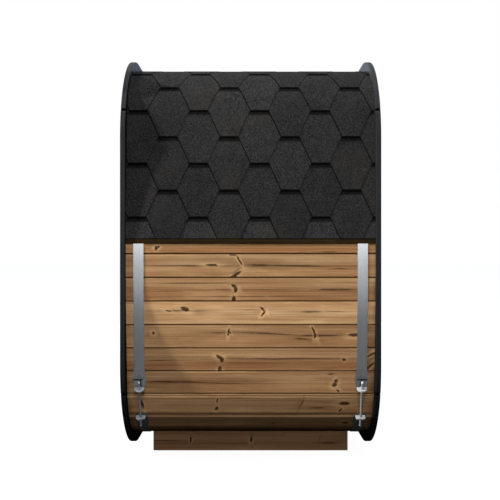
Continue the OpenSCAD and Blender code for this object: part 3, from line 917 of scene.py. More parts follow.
def finish_piece(
    name: str,
    bm: bmesh.types.BMesh,
    material: bpy.types.Material,
    replaced: Sequence[str] = (),
    bevel: float = 0.0,
    smooth: bool = False,
) -> bpy.types.Object:
    """Makes an object of a mesh and hangs it on the cabin.

    Args:
        name: The piece's name.
        bm: Its mesh, which is freed.
        material: Its material.
        replaced: CAD nodes that it stands for.
        bevel: Width of the bevel on its sharp edges.
        smooth: Whether its faces are shaded smooth.

    Returns:
        The object.
    """
    mesh = bpy.data.meshes.new(name)
    for face in bm.faces:
        face.smooth = smooth
    for edge in bm.edges:
        edge.smooth = smooth and edge.is_manifold and edge.calc_face_angle() < math.radians(30)
    bm.to_mesh(mesh)
    bm.free()
    mesh.materials.append(material)
    piece = bpy.data.objects.new(name, mesh)
    bpy.context.scene.collection.objects.link(piece)
    if bevel:
        rounding = piece.modifiers.new("edges", "BEVEL")
        rounding.width = bevel
        rounding.segments = 2
        rounding.limit_method = "ANGLE"
        rounding.angle_limit = math.radians(25)
    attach(piece, BODY)
    if replaced:
        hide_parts(*replaced)
    LOG.info("%s: %d faces", name, len(mesh.polygons))
    return piece


@dataclass
class StaveShell:
    """The staves all round the cabin."""

    seen: PineFinish
    plain: PineFinish
    bevel: float = 0.0008
    centre_z: float = 0.0

    def __post_init__(self) -> None:
        """Takes the shell's middle from the frame."""
        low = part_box("floor_staves")[0].z
        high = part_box("ceiling_staves")[1].z
        self.centre_z = (low + high) / 2

    def build(self) -> None:
        """Builds every group of staves."""
        seen, plain = self.seen.material(), self.plain.material()
        number = 20
        for node, material in (
            ("left_wall_staves", seen),
            ("lower_left_staves", seen),
            ("floor_staves", plain),
            ("ceiling_staves", plain),
            ("right_wall_staves", plain),
            ("lower_right_staves", plain),
            ("upper_left_staves", plain),
            ("upper_right_staves", plain),
        ):
            number = self._group(node, material, material is seen, number)

    def _group(self, node: str, material: bpy.types.Material, seen: bool, number: int) -> int:
        """Finishes one node of staves.

        Args:
            node: The CAD node.
            material: The wood.
            seen: Whether its boards carry the marks chosen for them.
            number: The first free board number.

        Returns:
            The next free board number.
        """
        bm = solid_copy(node)
        parts = sorted(loose_parts(bm), key=lambda part: -middle(part).z)
        first = self._first_seen(parts) if seen and node == "left_wall_staves" else 0
        for index, part in enumerate(parts):
            centre = middle(part)
            out = Vector((0, centre.y, centre.z - self.centre_z))
            outer = [f for f in part if abs(f.normal.x) < 0.1 and f.normal.dot(out) > 0]
            facing = max(outer, key=lambda f: f.calc_area()).normal.copy()
            board = number
            tone = random.Random(number).uniform(0.84, 1.10)
            if seen:
                board = index - first if node == "left_wall_staves" else index + 7
                tone = SEEN_TONES[board] if 0 <= board < len(SEEN_TONES) else tone
            lay_grain(bm, part, Vector((1, 0, 0)), board, tone, facing)
            number += 1
        finish_piece(f"{node}_wood", bm, material, (node,), self.bevel)
        return number

    def _first_seen(self, parts: Sequence[Sequence[bmesh.types.BMFace]]) -> int:
        """Index of the stave just above the middle of the wall."""
        return next(i for i, part in enumerate(parts) if middle(part).z < self.centre_z + 0.06)


@dataclass
class Timber:
    """Boards outside the shell: base, laths, walls and door frame."""

    plain: PineFinish
    stained: PineFinish
    base_finish: PineFinish
    shaded_lath_finish: PineFinish
    bevel: float = 0.002
    board_w: float = 0.1148
    board_gap: float = 0.0006

    def build(self) -> None:
        """Builds every board."""
        plain, stained = self.plain.material(), self.stained.material()
        base, lath = self.base_finish.material(), self.shaded_lath_finish.material()
        x, y, z = Vector((1, 0, 0)), Vector((0, 1, 0)), Vector((0, 0, 1))
        number = 200
        for node, material, slot, along, facing in (
            ("base_left_rail", base, "dark_wood", x, -y),
            ("base_right_rail", base, "dark_wood", x, y),
            ("base_front_bearer", base, "dark_wood", y, x),
            ("base_rear_bearer", base, "dark_wood", y, -x),
            ("left_edge_lath", lath, "dark_wood", x, -y),
            ("right_edge_lath", lath, "dark_wood", x, y),
            ("front_wall_left", plain, "stave_wood", y, x),
            ("front_wall_right", plain, "stave_wood", y, x),
            ("front_wall_over_door", plain, "stave_wood", y, x),
            ("front_wall_under_door", plain, "stave_wood", y, x),
            ("rear_wall", plain, "stave_wood", y, -x),
            ("door_left_jamb", stained, "dark_wood", z, x),
            ("door_right_jamb", stained, "dark_wood", z, x),
            ("door_head", stained, "dark_wood", y, x),
            ("door_sill", stained, "dark_wood", y, x),
            ("door_handle", stained, "dark_wood", z, None),
        ):
            bm = solid_copy(node)
            if material is plain:
                bm = self._planked(bm)
            for part in loose_parts(bm):
                tone = random.Random(number).uniform(0.9, 1.08)
                lay_grain(bm, part, along, number, tone, facing)
                number += 1
            finish_piece(f"{node}_wood", bm, material, (node,), self.bevel)

    def _planked(self, wall: bmesh.types.BMesh) -> bmesh.types.BMesh:
        """Cuts a wall into level boards.

        Args:
            wall: The wall in one piece, which is freed.

        Returns:
            The same wall as boards, each a solid of its own.
        """
        heights = [v.co.z for v in wall.verts]
        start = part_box("rear_wall")[0].z
        boards = bmesh.new()
        boards.loops.layers.uv.new(GRAIN_UV)
        boards.faces.layers.float.new(TONE)
        for number in range(math.ceil((max(heights) - start) / self.board_w)):
            low = start + number * self.board_w
            board = wall.copy()
            for z, side in ((low + self.board_gap / 2, -1), (low + self.board_w - self.board_gap / 2, 1)):
                everything = board.verts[:] + board.edges[:] + board.faces[:]
                cut = bmesh.ops.bisect_plane(
                    board, geom=everything, plane_co=(0, 0, z), plane_no=(0, 0, side), clear_outer=True
                )
                rim = [e for e in cut["geom_cut"] if isinstance(e, bmesh.types.BMEdge)]
                if rim:
                    bmesh.ops.holes_fill(board, edges=rim, sides=0)
            if board.faces:
                bmesh.ops.recalc_face_normals(board, faces=board.faces[:])
                mesh = bpy.data.meshes.new("board")
                board.to_mesh(mesh)
                boards.from_mesh(mesh)
                bpy.data.meshes.remove(mesh)
            board.free()
        wall.free()
        return boards


@dataclass
class Rims:
    """The black rim boards at both ends."""

    colour: tuple[float, float, float]
    bevel: float = 0.0025
    gap: float = 0.003
    set_back: float = 0.0045

    @staticmethod
    def _joints() -> tuple[float, float]:
        """Heights of the joints on the outer edge of a side board."""
        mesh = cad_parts["rear_rim_left"].data
        middle_z = sum(v.co.z for v in mesh.vertices) / len(mesh.vertices)
        ends = [f for f in mesh.polygons if abs(f.normal.z) > 0.8]
        corners = [mesh.vertices[i].co for f in ends for i in f.vertices]
        halves = ([p for p in corners if p.z < middle_z], [p for p in corners if p.z >= middle_z])
        return tuple(max(half, key=lambda p: abs(p.y)).z for half in halves)

    def build(self) -> None:
        """Builds both rims."""
        joints = self._joints()
        LOG.info("rim joints at %.3f and %.3f", *joints)
        paint = PaintFinish("rim_stain", self.colour, joints).material()
        for end in ("front", "rear"):
            for index, side in enumerate(("top", "bottom", "left", "right", "corners")):
                node = f"{end}_rim_{side}"
                bm = solid_copy(node)
                if side != "corners":
                    self._splines(bm, node, side in ("left", "right"), paint)
                for number, part in enumerate(loose_parts(bm)):
                    centre = middle(part)
                    turned = abs(centre.y) > 0.8 if side != "corners" else False
                    along = Vector((0, 0, 1)) if turned else Vector((0, 1, 0))
                    lay_grain(bm, part, along, 300 + index * 10 + number, 1.0)
                finish_piece(f"{node}_board", bm, paint, (node,), self.bevel)


    def _splines(self, rim: bmesh.types.BMesh, node: str, upright: bool, paint: bpy.types.Material) -> None:
        """Puts a loose tongue, set back from every face, into the joint at each end of a board.

        Args:
            rim: The board's mesh.
            node: The board's CAD node.
            upright: Whether the board stands.
            paint: Its finish.
        """
        bm = bmesh.new()
        bm.loops.layers.uv.new(GRAIN_UV)
        bm.faces.layers.float.new(TONE)
        for face in rim.faces:
            if abs(face.normal.z if upright else face.normal.y) < 0.8 or face.calc_area() > 0.01:
                continue
            across = face.normal.cross(Vector((1.0, 0.0, 0.0))).normalized()
            sizes = [
                max(v.co.dot(axis) for v in face.verts) - min(v.co.dot(axis) for v in face.verts) - 2 * self.set_back
                for axis in (Vector((1.0, 0.0, 0.0)), across)
            ]
            turned = Matrix((Vector((1.0, 0.0, 0.0)), across, face.normal)).transposed().to_4x4()
            centre = face.calc_center_median() + face.normal * self.gap / 2
            shape = Matrix.Diagonal((sizes[0], sizes[1], self.gap * 0.98, 1.0))
            bmesh.ops.create_cube(bm, size=1.0, matrix=Matrix.Translation(centre) @ turned @ shape)
        for part in loose_parts(bm):
            lay_grain(bm, part, Vector((1.0, 0.0, 0.0)), 380, 1.0)
        bmesh.ops.recalc_face_normals(bm, faces=bm.faces[:])
        finish_piece(f"{node}_spline", bm, paint, (), 0.0)


@dataclass
class Steelwork:
    """Bands, lugs, rods, nuts and hinges."""

    finish: ZincFinish
    shaded_zinc: ZincFinish
    sky_sheen_zinc: ZincFinish
    bevel: float = 0.0006
    fold_tone: float = 0.7
    slot_tone: float = 0.1
    slot_drop: float = 0.0065
    slot_half: float = 0.026
    flange_reach: float = 0.030
    flange_tone: float = 0.57
    # The lower flanges get a darker tone than the upper ones: painted shade.
    low_flange_tone: float = 0.5
    tip_length: float = 0.010
    tip_highlight_tone: float = 1.15
    edge_band: float = 0.0085
    edge_tone: float = 0.16

    def build(self) -> None:
        """Builds every steel piece; the lower bands and lugs take a darker zinc, which is painted shade."""
        bright, dull, pale = self.finish.material(), self.shaded_zinc.material(), self.sky_sheen_zinc.material()
        for node, material, tone in (
            ("front_upper_band", bright, 1.12), ("rear_upper_band", bright, 1.0),
            ("front_lower_band", dull, 1.0), ("rear_lower_band", dull, 1.0),
            ("upper_lugs", bright, 1.0), ("lower_lugs", dull, 1.0),
            ("tension_rods", pale, 0.28), ("rod_nuts", pale, 0.5), ("door_hinges", bright, 2.0),
        ):
            bm = solid_copy(node)
            shade = bm.faces.layers.float[TONE]
            for face in bm.faces:
                face[shade] = tone
            if node == "tension_rods":
                self._highlight_tips(bm, shade)
            lugs = node.endswith("lugs")
            for part in loose_parts(bm) if lugs else ():
                self._lug_tones(bm, part, shade, self.flange_tone if node.startswith("upper") else self.low_flange_tone)
            piece = finish_piece(f"{node}_steel", bm, material, (node,), self.bevel, True)
            if lugs:
                piece.data.materials.append(bright)
                piece.data.materials.append(pale)

    def _highlight_tips(self, bm: bmesh.types.BMesh, shade: bmesh.types.BMLayerItem) -> None:
        """Cuts off the upper ends of the rods and makes them lighter, a painted highlight.

        Args:
            bm: The mesh of the rods.
            shade: The layer that holds the tones.
        """
        line = max(v.co.z for v in bm.verts) - self.tip_length
        geometry = bm.verts[:] + bm.edges[:] + bm.faces[:]
        bmesh.ops.bisect_plane(bm, geom=geometry, plane_co=(0, 0, line), plane_no=(0, 0, 1))
        for face in bm.faces:
            if face.calc_center_median().z > line:
                face[shade] = self.tip_highlight_tone

    def _lug_tones(
        self, bm: bmesh.types.BMesh, part: Sequence[bmesh.types.BMFace], shade: bmesh.types.BMLayerItem, tone: float
    ) -> None:
        """Sets a lug's flange, fold and slot apart from its plate.

        Args:
            bm: The mesh of all the lugs.
            part: The lug's faces.
            shade: The layer that holds the tones.
            tone: How light its flange is.
        """
        centre = middle(part)
        out = math.copysign(1.0, centre.y)
        plate = max((f for f in part if f.normal.y * out > 0.3), key=lambda f: f.calc_area())
        normal = plate.normal.copy()
        face_up = Vector((1.0, 0.0, 0.0)).cross(normal)
        face_up *= math.copysign(1.0, face_up.z)
        origin = plate.calc_center_median()
        places = {f: f.calc_center_median() - origin for f in part}
        outer = [f for f in part if places[f].dot(normal) > 0.001]
        tip = places[max(outer, key=lambda f: places[f].dot(normal))]
        fold = [f for f in outer if abs((places[f] - tip).dot(face_up)) >= self.flange_reach]
        # The flanges' outer faces take the pale zinc, whose light colour is a painted reflection of the sky; the folds
        # take the bright zinc.
        for face in outer:
            face[shade] = self.fold_tone if face in fold else tone
            face.material_index = 1 if face in fold else 2
        if not fold:
            self._darkened_flange_edge(bm, outer, tip, origin, normal, shade)
        if fold:
            slot = origin + face_up * min((v.co - origin).dot(face_up) for f in fold for v in f.verts)
            self._slot_shadow(bm, plate, slot, face_up, shade)

    def _darkened_flange_edge(
        self, bm: bmesh.types.BMesh, flange: Sequence[bmesh.types.BMFace], tip: Vector, origin: Vector, normal: Vector,
        shade: bmesh.types.BMLayerItem,
    ) -> None:
        """Darkens a strip along the outer edge of a lower flange.

        Args:
            bm: The mesh of all the lugs.
            flange: The flange's faces.
            tip: The flange's outermost place, seen from the plate's middle.
            origin: The plate's middle.
            normal: The plate's direction outwards.
            shade: The layer that holds the tones.
        """
        line = tip.dot(normal) - self.edge_band
        around = {e for f in flange for e in f.edges} | {v for f in flange for v in f.verts}
        made = bmesh.ops.bisect_plane(
            bm, geom=list(flange) + list(around), plane_co=origin + normal * line, plane_no=normal
        )
        for face in (f for f in made["geom"] if isinstance(f, bmesh.types.BMFace)):
            if (face.calc_center_median() - origin).dot(normal) > line:
                face[shade] = self.edge_tone

    def _slot_shadow(
        self, bm: bmesh.types.BMesh, plate: bmesh.types.BMFace, slot: Vector, up: Vector,
        shade: bmesh.types.BMLayerItem,
    ) -> None:
        """Cuts a strip of the plate under the slot and darkens it.

        Args:
            bm: The mesh of all the lugs.
            plate: The plate's outer face.
            slot: A place on the slot.
            up: Direction up the plate.
            shade: The layer that holds the tones.
        """
        normal = plate.normal.copy()
        pieces = [plate]
        cuts = (
            (slot - up * 0.004, up), (slot - up * (0.004 + self.slot_drop), up),
            (slot + Vector((self.slot_half, 0.0, 0.0)), Vector((1.0, 0.0, 0.0))),
            (slot - Vector((self.slot_half, 0.0, 0.0)), Vector((1.0, 0.0, 0.0))),
        )
        for place, direction in cuts:
            around = {e for f in pieces for e in f.edges} | {v for f in pieces for v in f.verts}
            geometry = pieces + list(around)
            made = bmesh.ops.bisect_plane(bm, geom=geometry, plane_co=place, plane_no=direction)
            pieces = [f for f in made["geom"] if isinstance(f, bmesh.types.BMFace)]
        for face in pieces:
            offset = face.calc_center_median() - slot
            inside = -0.004 - self.slot_drop < offset.dot(up) < -0.004
            if inside and abs(offset.x) < self.slot_half and face.normal.dot(normal) > 0.99:
                face[shade] = self.slot_tone


@dataclass
class DoorGlass:
    """The pane of the door."""

    finish: GlassFinish

    def build(self) -> None:
        """Builds the pane."""
        bm = solid_copy("door_glass")
        finish_piece("door_pane", bm, self.finish.material(), ("door_glass",), 0.001)


class RoofPath:
    """The line that the covering follows, from the left eave over the roof to the right eave."""

    shortest = 0.015

    def __init__(self, node: str) -> None:
        """Reads the line from the covering's own section.

        Args:
            node: The CAD node of the covering.
        """
        low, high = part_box(node)
        self.x0, self.x1 = low.x, high.x
        centre = Vector((0.0, low.z - 0.1))
        bm = solid_copy(node)
        under = set()
        for face in bm.faces:
            outline = [Vector(v.co.yz) for v in face.verts if v.co.x < low.x + 1e-4]
            out = Vector(face.normal.yz).dot(Vector(face.calc_center_median().yz) - centre)
            if abs(face.normal.x) < 0.1 and len(outline) == 2 and out < 0:
                if (outline[0] - outline[1]).length > self.shortest:
                    under.update((round(p.x, 5), round(p.y, 5)) for p in outline)
        bm.free()
        inner = sorted(map(Vector, under), key=lambda p: -math.atan2(p.y - centre.y, p.x - centre.x))
        self.points = inner
        self.lengths = [0.0]
        for first, second in zip(inner, inner[1:]):
            self.lengths.append(self.lengths[-1] + (second - first).length)
        self.total = self.lengths[-1]

    def _slope(self, index: int) -> Vector:
        """Direction of the line at one of its points."""
        last = len(self.points) - 1
        before, after = self.points[max(index - 1, 0)], self.points[min(index + 1, last)]
        return (after - before).normalized()

    def at(self, s: float, height: float) -> Vector:
        """A point beside the line.

        Args:
            s: Distance along the line from the left eave.
            height: Distance outwards from it.

        Returns:
            The point, as (y, z).
        """
        s = min(max(s, 0.0), self.total)
        index = next((i for i, length in enumerate(self.lengths[1:]) if s <= length), len(self.points) - 2)
        span = self.lengths[index + 1] - self.lengths[index]
        t = (s - self.lengths[index]) / span
        p0, p1 = self.points[index], self.points[index + 1]
        m0, m1 = self._slope(index) * span, self._slope(index + 1) * span
        t2, t3 = t * t, t * t * t
        point = (2 * t3 - 3 * t2 + 1) * p0 + (t3 - 2 * t2 + t) * m0 + (3 * t2 - 2 * t3) * p1 + (t3 - t2) * m1
        slope = ((6 * t2 - 6 * t) * p0 + (3 * t2 - 4 * t + 1) * m0 + (6 * t - 6 * t2) * p1 + (3 * t2 - 2 * t) * m1)
        slope.normalize()
        return point + Vector((-slope.y, slope.x)) * height


@dataclass
class Shingles:
    """Hexagonal shingles in courses from both eaves up to the ridge."""

    finish: GranuleFinish
    exposure: float = 0.131
    tab_bottom: float = 0.092
    tab_width: float = 0.211
    pitch: float = 0.296
    first_centre: float = -0.550
    first_course: float = -0.028
    thickness: float = 0.0010
    step: float = 0.0225
    starter: float = 0.16
    head: float = 0.02
    cap_w: float = 0.25
    cap_l: float = 0.175
    cap_shown: float = 0.145
    cap_lift: float = 0.0055

    def build(self) -> None:
        """Builds the covering."""
        path = RoofPath("roof_shingles")
        material = self.finish.material()
        half = path.total / 2
        courses = math.ceil((half - self.first_course) / self.exposure)
        bm = bmesh.new()
        rng = random.Random(7)
        for side in (0, 1):
            self._starter(bm, path, side)
            for course in range(courses):
                self._course(bm, path, course, side, rng)
        self._caps(bm, path, rng)
        finish_piece("roof_shingle_courses", bm, material, ("roof_shingles",))

    def _course(self, bm: bmesh.types.BMesh, path: RoofPath, course: int, side: int, rng: random.Random) -> None:
        """Adds one course of tabs.

        Args:
            bm: The covering's mesh.
            path: The line it follows.
            course: The course's number from the eave.
            side: 0 on the left, 1 on the right.
            rng: Source of the tabs' tones.
        """
        start = self.first_course + course * self.exposure
        offset = self.first_centre + (0.0 if course % 2 else self.pitch / 2)
        count = math.ceil((path.x1 - path.x0) / self.pitch) + 2
        for number in range(-1, count):
            centre = offset + number * self.pitch
            if centre - self.pitch / 2 > path.x1 or centre + self.pitch / 2 < path.x0:
                continue
            self._tab(bm, path, centre, start, side, rng.uniform(0.86, 1.12))

    def _caps(self, bm: bmesh.types.BMesh, path: RoofPath, rng: random.Random) -> None:
        """Lays overlapping caps along the ridge, each bent over it.

        Args:
            bm: The covering's mesh.
            path: The line it follows.
            rng: Source of the caps' tones.
        """
        length = path.x1 - path.x0
        count = math.ceil(length / self.cap_shown)
        half = self.cap_w / 2
        for number in range(count):
            cap = bmesh.new()
            bmesh.ops.create_grid(cap, x_segments=1, y_segments=14, size=0.5)
            shade, uv = cap.faces.layers.float.new(TONE), cap.loops.layers.uv.new(GRAIN_UV)
            tone = rng.uniform(0.9, 1.1)
            for made in cap.faces:
                made[shade] = tone
                for loop in made.loops:
                    loop[uv].uv = (0.0, (loop.vert.co.x + 0.5) * self.cap_l)
            raised = bmesh.ops.extrude_face_region(cap, geom=cap.faces[:])
            lifted = [v for v in raised["geom"] if isinstance(v, bmesh.types.BMVert)]
            bmesh.ops.translate(cap, verts=lifted, vec=(0, 0, self.thickness))
            start = path.x0 + number * self.cap_shown
            for vertex in cap.verts:
                t = vertex.co.x + 0.5
                y, z = path.at(path.total / 2 + vertex.co.y * 2 * half, vertex.co.z + self.cap_lift * (1.0 - t))
                vertex.co = (min(start + t * self.cap_l, path.x1), y, z)
            bmesh.ops.recalc_face_normals(cap, faces=cap.faces[:])
            mesh = bpy.data.meshes.new("cap")
            cap.to_mesh(mesh)
            cap.free()
            bm.from_mesh(mesh)
            bpy.data.meshes.remove(mesh)

    def _starter(self, bm: bmesh.types.BMesh, path: RoofPath, side: int) -> None:
        """Adds the plain strip under the first course.

        Args:
            bm: The covering's mesh.
            path: The line it follows.
            side: 0 on the left, 1 on the right.
        """
        corners = ((path.x0, 0.0), (path.x1, 0.0), (path.x1, self.starter), (path.x0, self.starter))
        self._sheet(bm, path, corners, None, self.first_course - self.exposure, side, 1.32, 0.0)

    def _tab(self, bm: bmesh.types.BMesh, path: RoofPath, centre: float, start: float, side: int, tone: float) -> None:
        """Adds one tab: flat, cut across, thickened and bent over the roof.

        Args:
            bm: The covering's mesh.
            path: The line it follows.
            centre: The tab's middle.
            start: Where its lower edge lies, from the eave.
            side: 0 on the left, 1 on the right.
            tone: How light it is.
        """
        long = 2 * self.exposure + self.head
        outline = (
            (-self.tab_bottom / 2, 0.0), (self.tab_bottom / 2, 0.0),
            (self.tab_width / 2, self.exposure), (self.pitch / 2, self.exposure),
            (self.pitch / 2, long), (-self.pitch / 2, long),
            (-self.pitch / 2, self.exposure), (-self.tab_width / 2, self.exposure),
        )
        corners = [(centre + x, start + s) for x, s in outline]
        self._sheet(bm, path, corners, centre, start, side, tone, 2 * self.thickness)

    def _sheet(
        self, bm: bmesh.types.BMesh, path: RoofPath, corners: Sequence[tuple[float, float]], centre: Optional[float],
        start: float, side: int, tone: float, lift: float,
    ) -> None:
        """Adds a flat sheet of felt: trimmed to the cabin, cut across, thickened and bent over the roof.

        Args:
            bm: The covering's mesh.
            path: The line it follows.
            corners: Its outline, as places along the cabin and up from the eave.
            centre: Where its middle lies along the cabin, or nothing for a strip without tabs.
            start: Where its lower edge lies.
            side: 0 on the left, 1 on the right.
            tone: How light it is.
            lift: How far its lower edge stands off.
        """
        tab = bmesh.new()
        tab.faces.new([tab.verts.new((x, s, 0.0)) for x, s in corners])
        limit = path.total / 2
        trims = (
            ((path.x0, 0, 0), (-1, 0, 0)), ((path.x1, 0, 0), (1, 0, 0)),
            ((0, 0, 0), (0, -1, 0)), ((0, limit, 0), (0, 1, 0)),
        )
        for place, normal in trims:
            geometry = tab.verts[:] + tab.edges[:] + tab.faces[:]
            bmesh.ops.bisect_plane(tab, geom=geometry, plane_co=place, plane_no=normal, clear_outer=True)
        if not tab.faces:
            tab.free()
            return
        top = max(s for _, s in corners)
        cuts = [start + self.step * k for k in range(1, int((top - start) / self.step) + 1)]
        for s in cuts:
            geometry = tab.verts[:] + tab.edges[:] + tab.faces[:]
            bmesh.ops.bisect_plane(tab, geom=geometry, plane_co=(0, s, 0), plane_no=(0, 1, 0))
        bmesh.ops.remove_doubles(tab, verts=tab.verts[:], dist=1e-5)
        shade = tab.faces.layers.float.new(TONE)
        uv = tab.loops.layers.uv.new(GRAIN_UV)
        for made in tab.faces:
            made[shade] = tone
            for loop in made.loops:
                across = 0.0 if centre is None else loop.vert.co.x - centre
                loop[uv].uv = (across, loop.vert.co.y - start)
        top = bmesh.ops.extrude_face_region(tab, geom=tab.faces[:])
        raised = [e for e in top["geom"] if isinstance(e, bmesh.types.BMVert)]
        bmesh.ops.translate(tab, verts=raised, vec=(0, 0, self.thickness))
        for vertex in tab.verts:
            x, s, h = vertex.co
            rise = lift * (1 - (s - start) / (2 * self.exposure))
            y, z = path.at(s if side == 0 else path.total - s, h + max(rise, 0.0))
            vertex.co = (x, y, z)
        bmesh.ops.recalc_face_normals(tab, faces=tab.faces[:])
        mesh = bpy.data.meshes.new("tab")
        tab.to_mesh(mesh)
        tab.free()
        bm.from_mesh(mesh)
        bpy.data.meshes.remove(mesh)


@dataclass
class Studio:
    """Floor, backdrop, lights and camera."""

    sky: tuple = (
        (0.0, (0.01, 0.01, 0.01)), (0.49, (0.02, 0.02, 0.02)), (0.52, (0.36, 0.37, 0.41)),
        (0.7, (0.37, 0.42, 0.57)), (1.0, (0.41, 0.50, 0.79)),
    )
    lens: float = 55.53
    distance: float = 3.7036
    above_middle: float = 0.009
    key_power: float = 8300.0
    fill_power: float = 247.0
    card_power: float = 222.0
    low_power: float = 34.0
    end_power: float = 330.0
    back_power: float = 240.0
    scrim: float = 0.32

    def build(self) -> None:
        """Builds the studio."""
        self._camera()
        self._floor()
        self._world()
        self._lamps()
        self._scrim()
        bpy.context.scene.view_settings.view_transform = "Standard"

    def _camera(self) -> None:
        """Puts the camera square to the left side, level with the cabin's middle."""
        low, high = CAD_BOX
        rim_low, rim_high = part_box("rear_rim_bottom")[0].z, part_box("rear_rim_top")[1].z
        data = bpy.data.cameras.new("camera")
        data.lens = self.lens
        data.sensor_width = 36.0
        camera = bpy.data.objects.new("camera", data)
        camera.location = (-0.003, low.y - self.distance, (rim_low + rim_high) / 2 + self.above_middle)
        camera.rotation_euler = (math.pi / 2, 0.0, 0.0)
        bpy.context.scene.collection.objects.link(camera)
        bpy.context.scene.camera = camera

    def _floor(self) -> None:
        """Lays a pale floor that shows white and keeps the shadow."""
        bm = bmesh.new()
        bmesh.ops.create_grid(bm, x_segments=1, y_segments=1, size=60.0)
        mesh = bpy.data.meshes.new("floor")
        bm.to_mesh(mesh)
        bm.free()
        floor = bpy.data.objects.new("floor", mesh)
        bpy.context.scene.collection.objects.link(floor)
        g = Graph("floor")
        seen = self._seen(g)
        lit = g.node("ShaderNodeBsdfDiffuse", {}, {"Color": (0.85, 0.85, 0.85, 1.0)})
        glow = g.node("ShaderNodeEmission", {}, {"Color": (1.0, 1.0, 1.0, 1.0), "Strength": 1.045})
        shown = g.node("ShaderNodeMixShader", {}, (0.92, lit, glow))
        dim = g.node("ShaderNodeBsdfDiffuse", {}, {"Color": (0.03, 0.03, 0.03, 1.0)})
        both = g.node("ShaderNodeMixShader", {}, (seen, dim, shown))
        g.node("ShaderNodeOutputMaterial", {}, {"Surface": both})
        mesh.materials.append(g.material)

    @staticmethod
    def _seen(graph: Graph) -> Wire:
        """1 for rays that show a background: the camera's, reflected and refracted ones."""
        camera = graph.node("ShaderNodeLightPath", {}, (), "Is Camera Ray")
        glossy = graph.node("ShaderNodeLightPath", {}, (), "Is Glossy Ray")
        through = graph.node("ShaderNodeLightPath", {}, (), "Is Transmission Ray")
        return camera.largest(glossy).largest(through)

    def _world(self) -> None:
        """A white background, and a sky light that is strongest overhead."""
        world = bpy.data.worlds.new("studio")
        bpy.context.scene.world = world
        g = Graph(world)
        place = g.node("ShaderNodeTexCoord", {}, (), "Generated")
        split = g.node("ShaderNodeSeparateXYZ", {}, (place,), "Z")
        sky = g.node(
            "ShaderNodeValToRGB",
            {"stops": self.sky},
            (split * 0.5 + 0.5,),
        )
        dim = g.node("ShaderNodeBackground", {}, {"Color": sky, "Strength": 1.0})
        white = g.node("ShaderNodeBackground", {}, {"Color": (1.0, 1.0, 1.0, 1.0), "Strength": 1.0})
        both = g.node("ShaderNodeMixShader", {}, (self._seen(g), dim, white))
        g.node("ShaderNodeOutputWorld", {}, {"Surface": both})

    def _lamps(self) -> None:
        """A key from the left and above, a soft front fill, and a card that only steel reflects."""
        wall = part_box("left_wall_staves")[0].y
        aim = Vector((0.0, wall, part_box("left_wall_staves")[1].z))
        away = Vector((-1.0, -0.175, 0.42)).normalized() * 16.0
        self._area("key", aim + away, aim, 0.5, 0.5, self.key_power, (1.0, 0.97, 0.92))
        front = Vector((0.0, wall, aim.z * 0.6))
        raised = Vector((0.0, -0.743, 0.669)) * 6.0
        self._area("fill", front + raised, front, 3.0, 1.4, self.fill_power)
        box = Vector((0.0, -6.5, 1.86))
        card = self._area("card", box, box + Vector((0.0, 1.0, 0.0)), 3.6, 1.80, self.card_power)
        card.visible_diffuse = False
        low = Vector((0.0, -7.0, 0.35))
        self._area("low", low, low + Vector((0.0, 1.0, 0.0)), 3.6, 0.6, self.low_power)
        middle_place = Vector((0.0, 0.0, 1.0))
        end = self._area("end", Vector((8.0, 0.0, 2.0)), middle_place, 3.0, 2.0, self.end_power)
        back = self._area("back", Vector((0.0, 7.0, 1.0)), middle_place, 3.0, 1.4, self.back_power)
        for lamp in (end, back):
            lamp.visible_glossy = lamp.visible_transmission = False

    def _scrim(self) -> None:
        """Hangs a thin unseen cloth before the end that faces the key, so that its pale boards keep their colour."""
        low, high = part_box("rear_wall")
        bm = bmesh.new()
        bmesh.ops.create_grid(bm, x_segments=1, y_segments=1, size=0.5)
        size = Vector((high.z - low.z, high.y - low.y, 1.0))
        bmesh.ops.scale(bm, verts=bm.verts[:], vec=size)
        bmesh.ops.rotate(bm, verts=bm.verts[:], cent=(0, 0, 0), matrix=Matrix.Rotation(math.pi / 2, 3, "Y"))
        place = ((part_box("rear_rim_top")[0].x - 0.02), (low.y + high.y) / 2, (low.z + high.z) / 2)
        bmesh.ops.translate(bm, verts=bm.verts[:], vec=place)
        mesh = bpy.data.meshes.new("scrim")
        bm.to_mesh(mesh)
        bm.free()
        cloth = bpy.data.objects.new("scrim", mesh)
        bpy.context.scene.collection.objects.link(cloth)
        for ray in ("camera", "diffuse", "glossy", "transmission", "volume_scatter"):
            setattr(cloth, f"visible_{ray}", False)
        g = Graph("scrim")
        thin = g.node("ShaderNodeBsdfTransparent", {}, {"Color": (self.scrim, self.scrim, self.scrim, 1.0)})
        g.node("ShaderNodeOutputMaterial", {}, {"Surface": thin})
        mesh.materials.append(g.material)

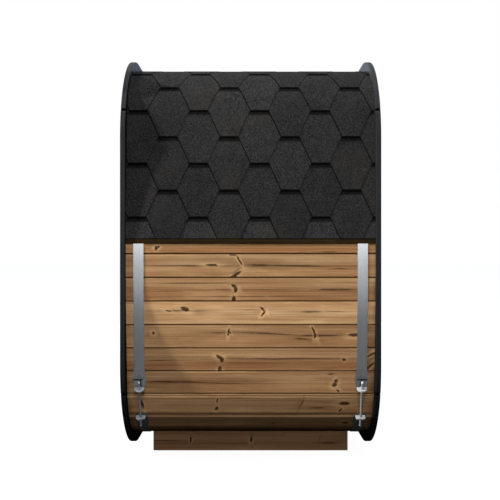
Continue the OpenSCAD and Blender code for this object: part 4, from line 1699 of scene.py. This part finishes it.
    @staticmethod
    def _area(
        name: str, place: Vector, aim: Vector, width: float, height: float, power: float,
        colour: tuple[float, float, float] = (1.0, 1.0, 1.0),
    ) -> bpy.types.Object:
        """Adds a soft box.

        Args:
            name: The lamp's name.
            place: Where it stands.
            aim: What it looks at.
            width: Its width.
            height: Its height.
            power: Its power in watts.
            colour: Its colour.

        Returns:
            The lamp.
        """
        data = bpy.data.lights.new(name, "AREA")
        data.shape = "RECTANGLE"
        data.size, data.size_y = width, height
        data.energy = power
        data.color = colour
        lamp = bpy.data.objects.new(name, data)
        lamp.visible_camera = False
        lamp.location = place
        lamp.rotation_mode = "QUATERNION"
        lamp.rotation_quaternion = (aim - place).to_track_quat("-Z", "Y")
        bpy.context.scene.collection.objects.link(lamp)
        return lamp


def main() -> None:
    """Builds the cabin's looks in order."""
    logging.basicConfig(level=logging.INFO, format="%(message)s")
    seen = PineFinish("seen_pine", (0.47, 0.285, 0.135), (0.25, 0.122, 0.050), SEEN_MARKS, False)
    plain = PineFinish("plain_pine", (0.47, 0.285, 0.135), (0.25, 0.122, 0.050))
    stained = PineFinish("stained_pine", (0.13, 0.075, 0.042), (0.06, 0.032, 0.018), half_face=0.4)
    # The base pine is lighter than the walls' pine: painted light on rails that stand in the cabin's shade.
    base = PineFinish("base_pine", (0.62, 0.36, 0.17), (0.32, 0.16, 0.07), BASE_MARKS, False, half_face=0.4)
    # The lath's near-black brown is painted shade under the shingles' edge, darkest in a band at its top.
    lath = PineFinish(
        "lath_pine_painted_shade", (0.029, 0.0175, 0.0070), (0.012, 0.008, 0.004),
        half_face=0.03, off_centre=-0.0195, edge_highlight=0.0,
    )
    Studio().build()
    StaveShell(seen, plain).build()
    Timber(plain, stained, base, lath).build()
    Rims((0.0186, 0.0193, 0.0203)).build()
    zinc = ZincFinish("galvanised", (0.088, 0.092, 0.095), 0.24)
    # The darker, duller zinc of the lower bands and lugs is painted shade.
    shaded_zinc = ZincFinish("zinc_painted_shade", (0.072, 0.080, 0.068), 0.75, 0.0)
    # A pale, nearly matte zinc: its light colour on the flanges is a painted reflection of the sky; the rods and nuts
    # take it too.
    sky_sheen_zinc = ZincFinish("zinc_painted_sky_sheen", (0.55, 0.56, 0.59), 0.42, 0.15)
    Steelwork(zinc, shaded_zinc, sky_sheen_zinc).build()
    DoorGlass(GlassFinish("door_glass_tint", (0.55, 0.50, 0.46))).build()
    Shingles(GranuleFinish("shingle_granules", (0.0068, 0.0068, 0.0070), (0.0304, 0.0295, 0.0279))).build()


if __name__ == "__main__":
    main()
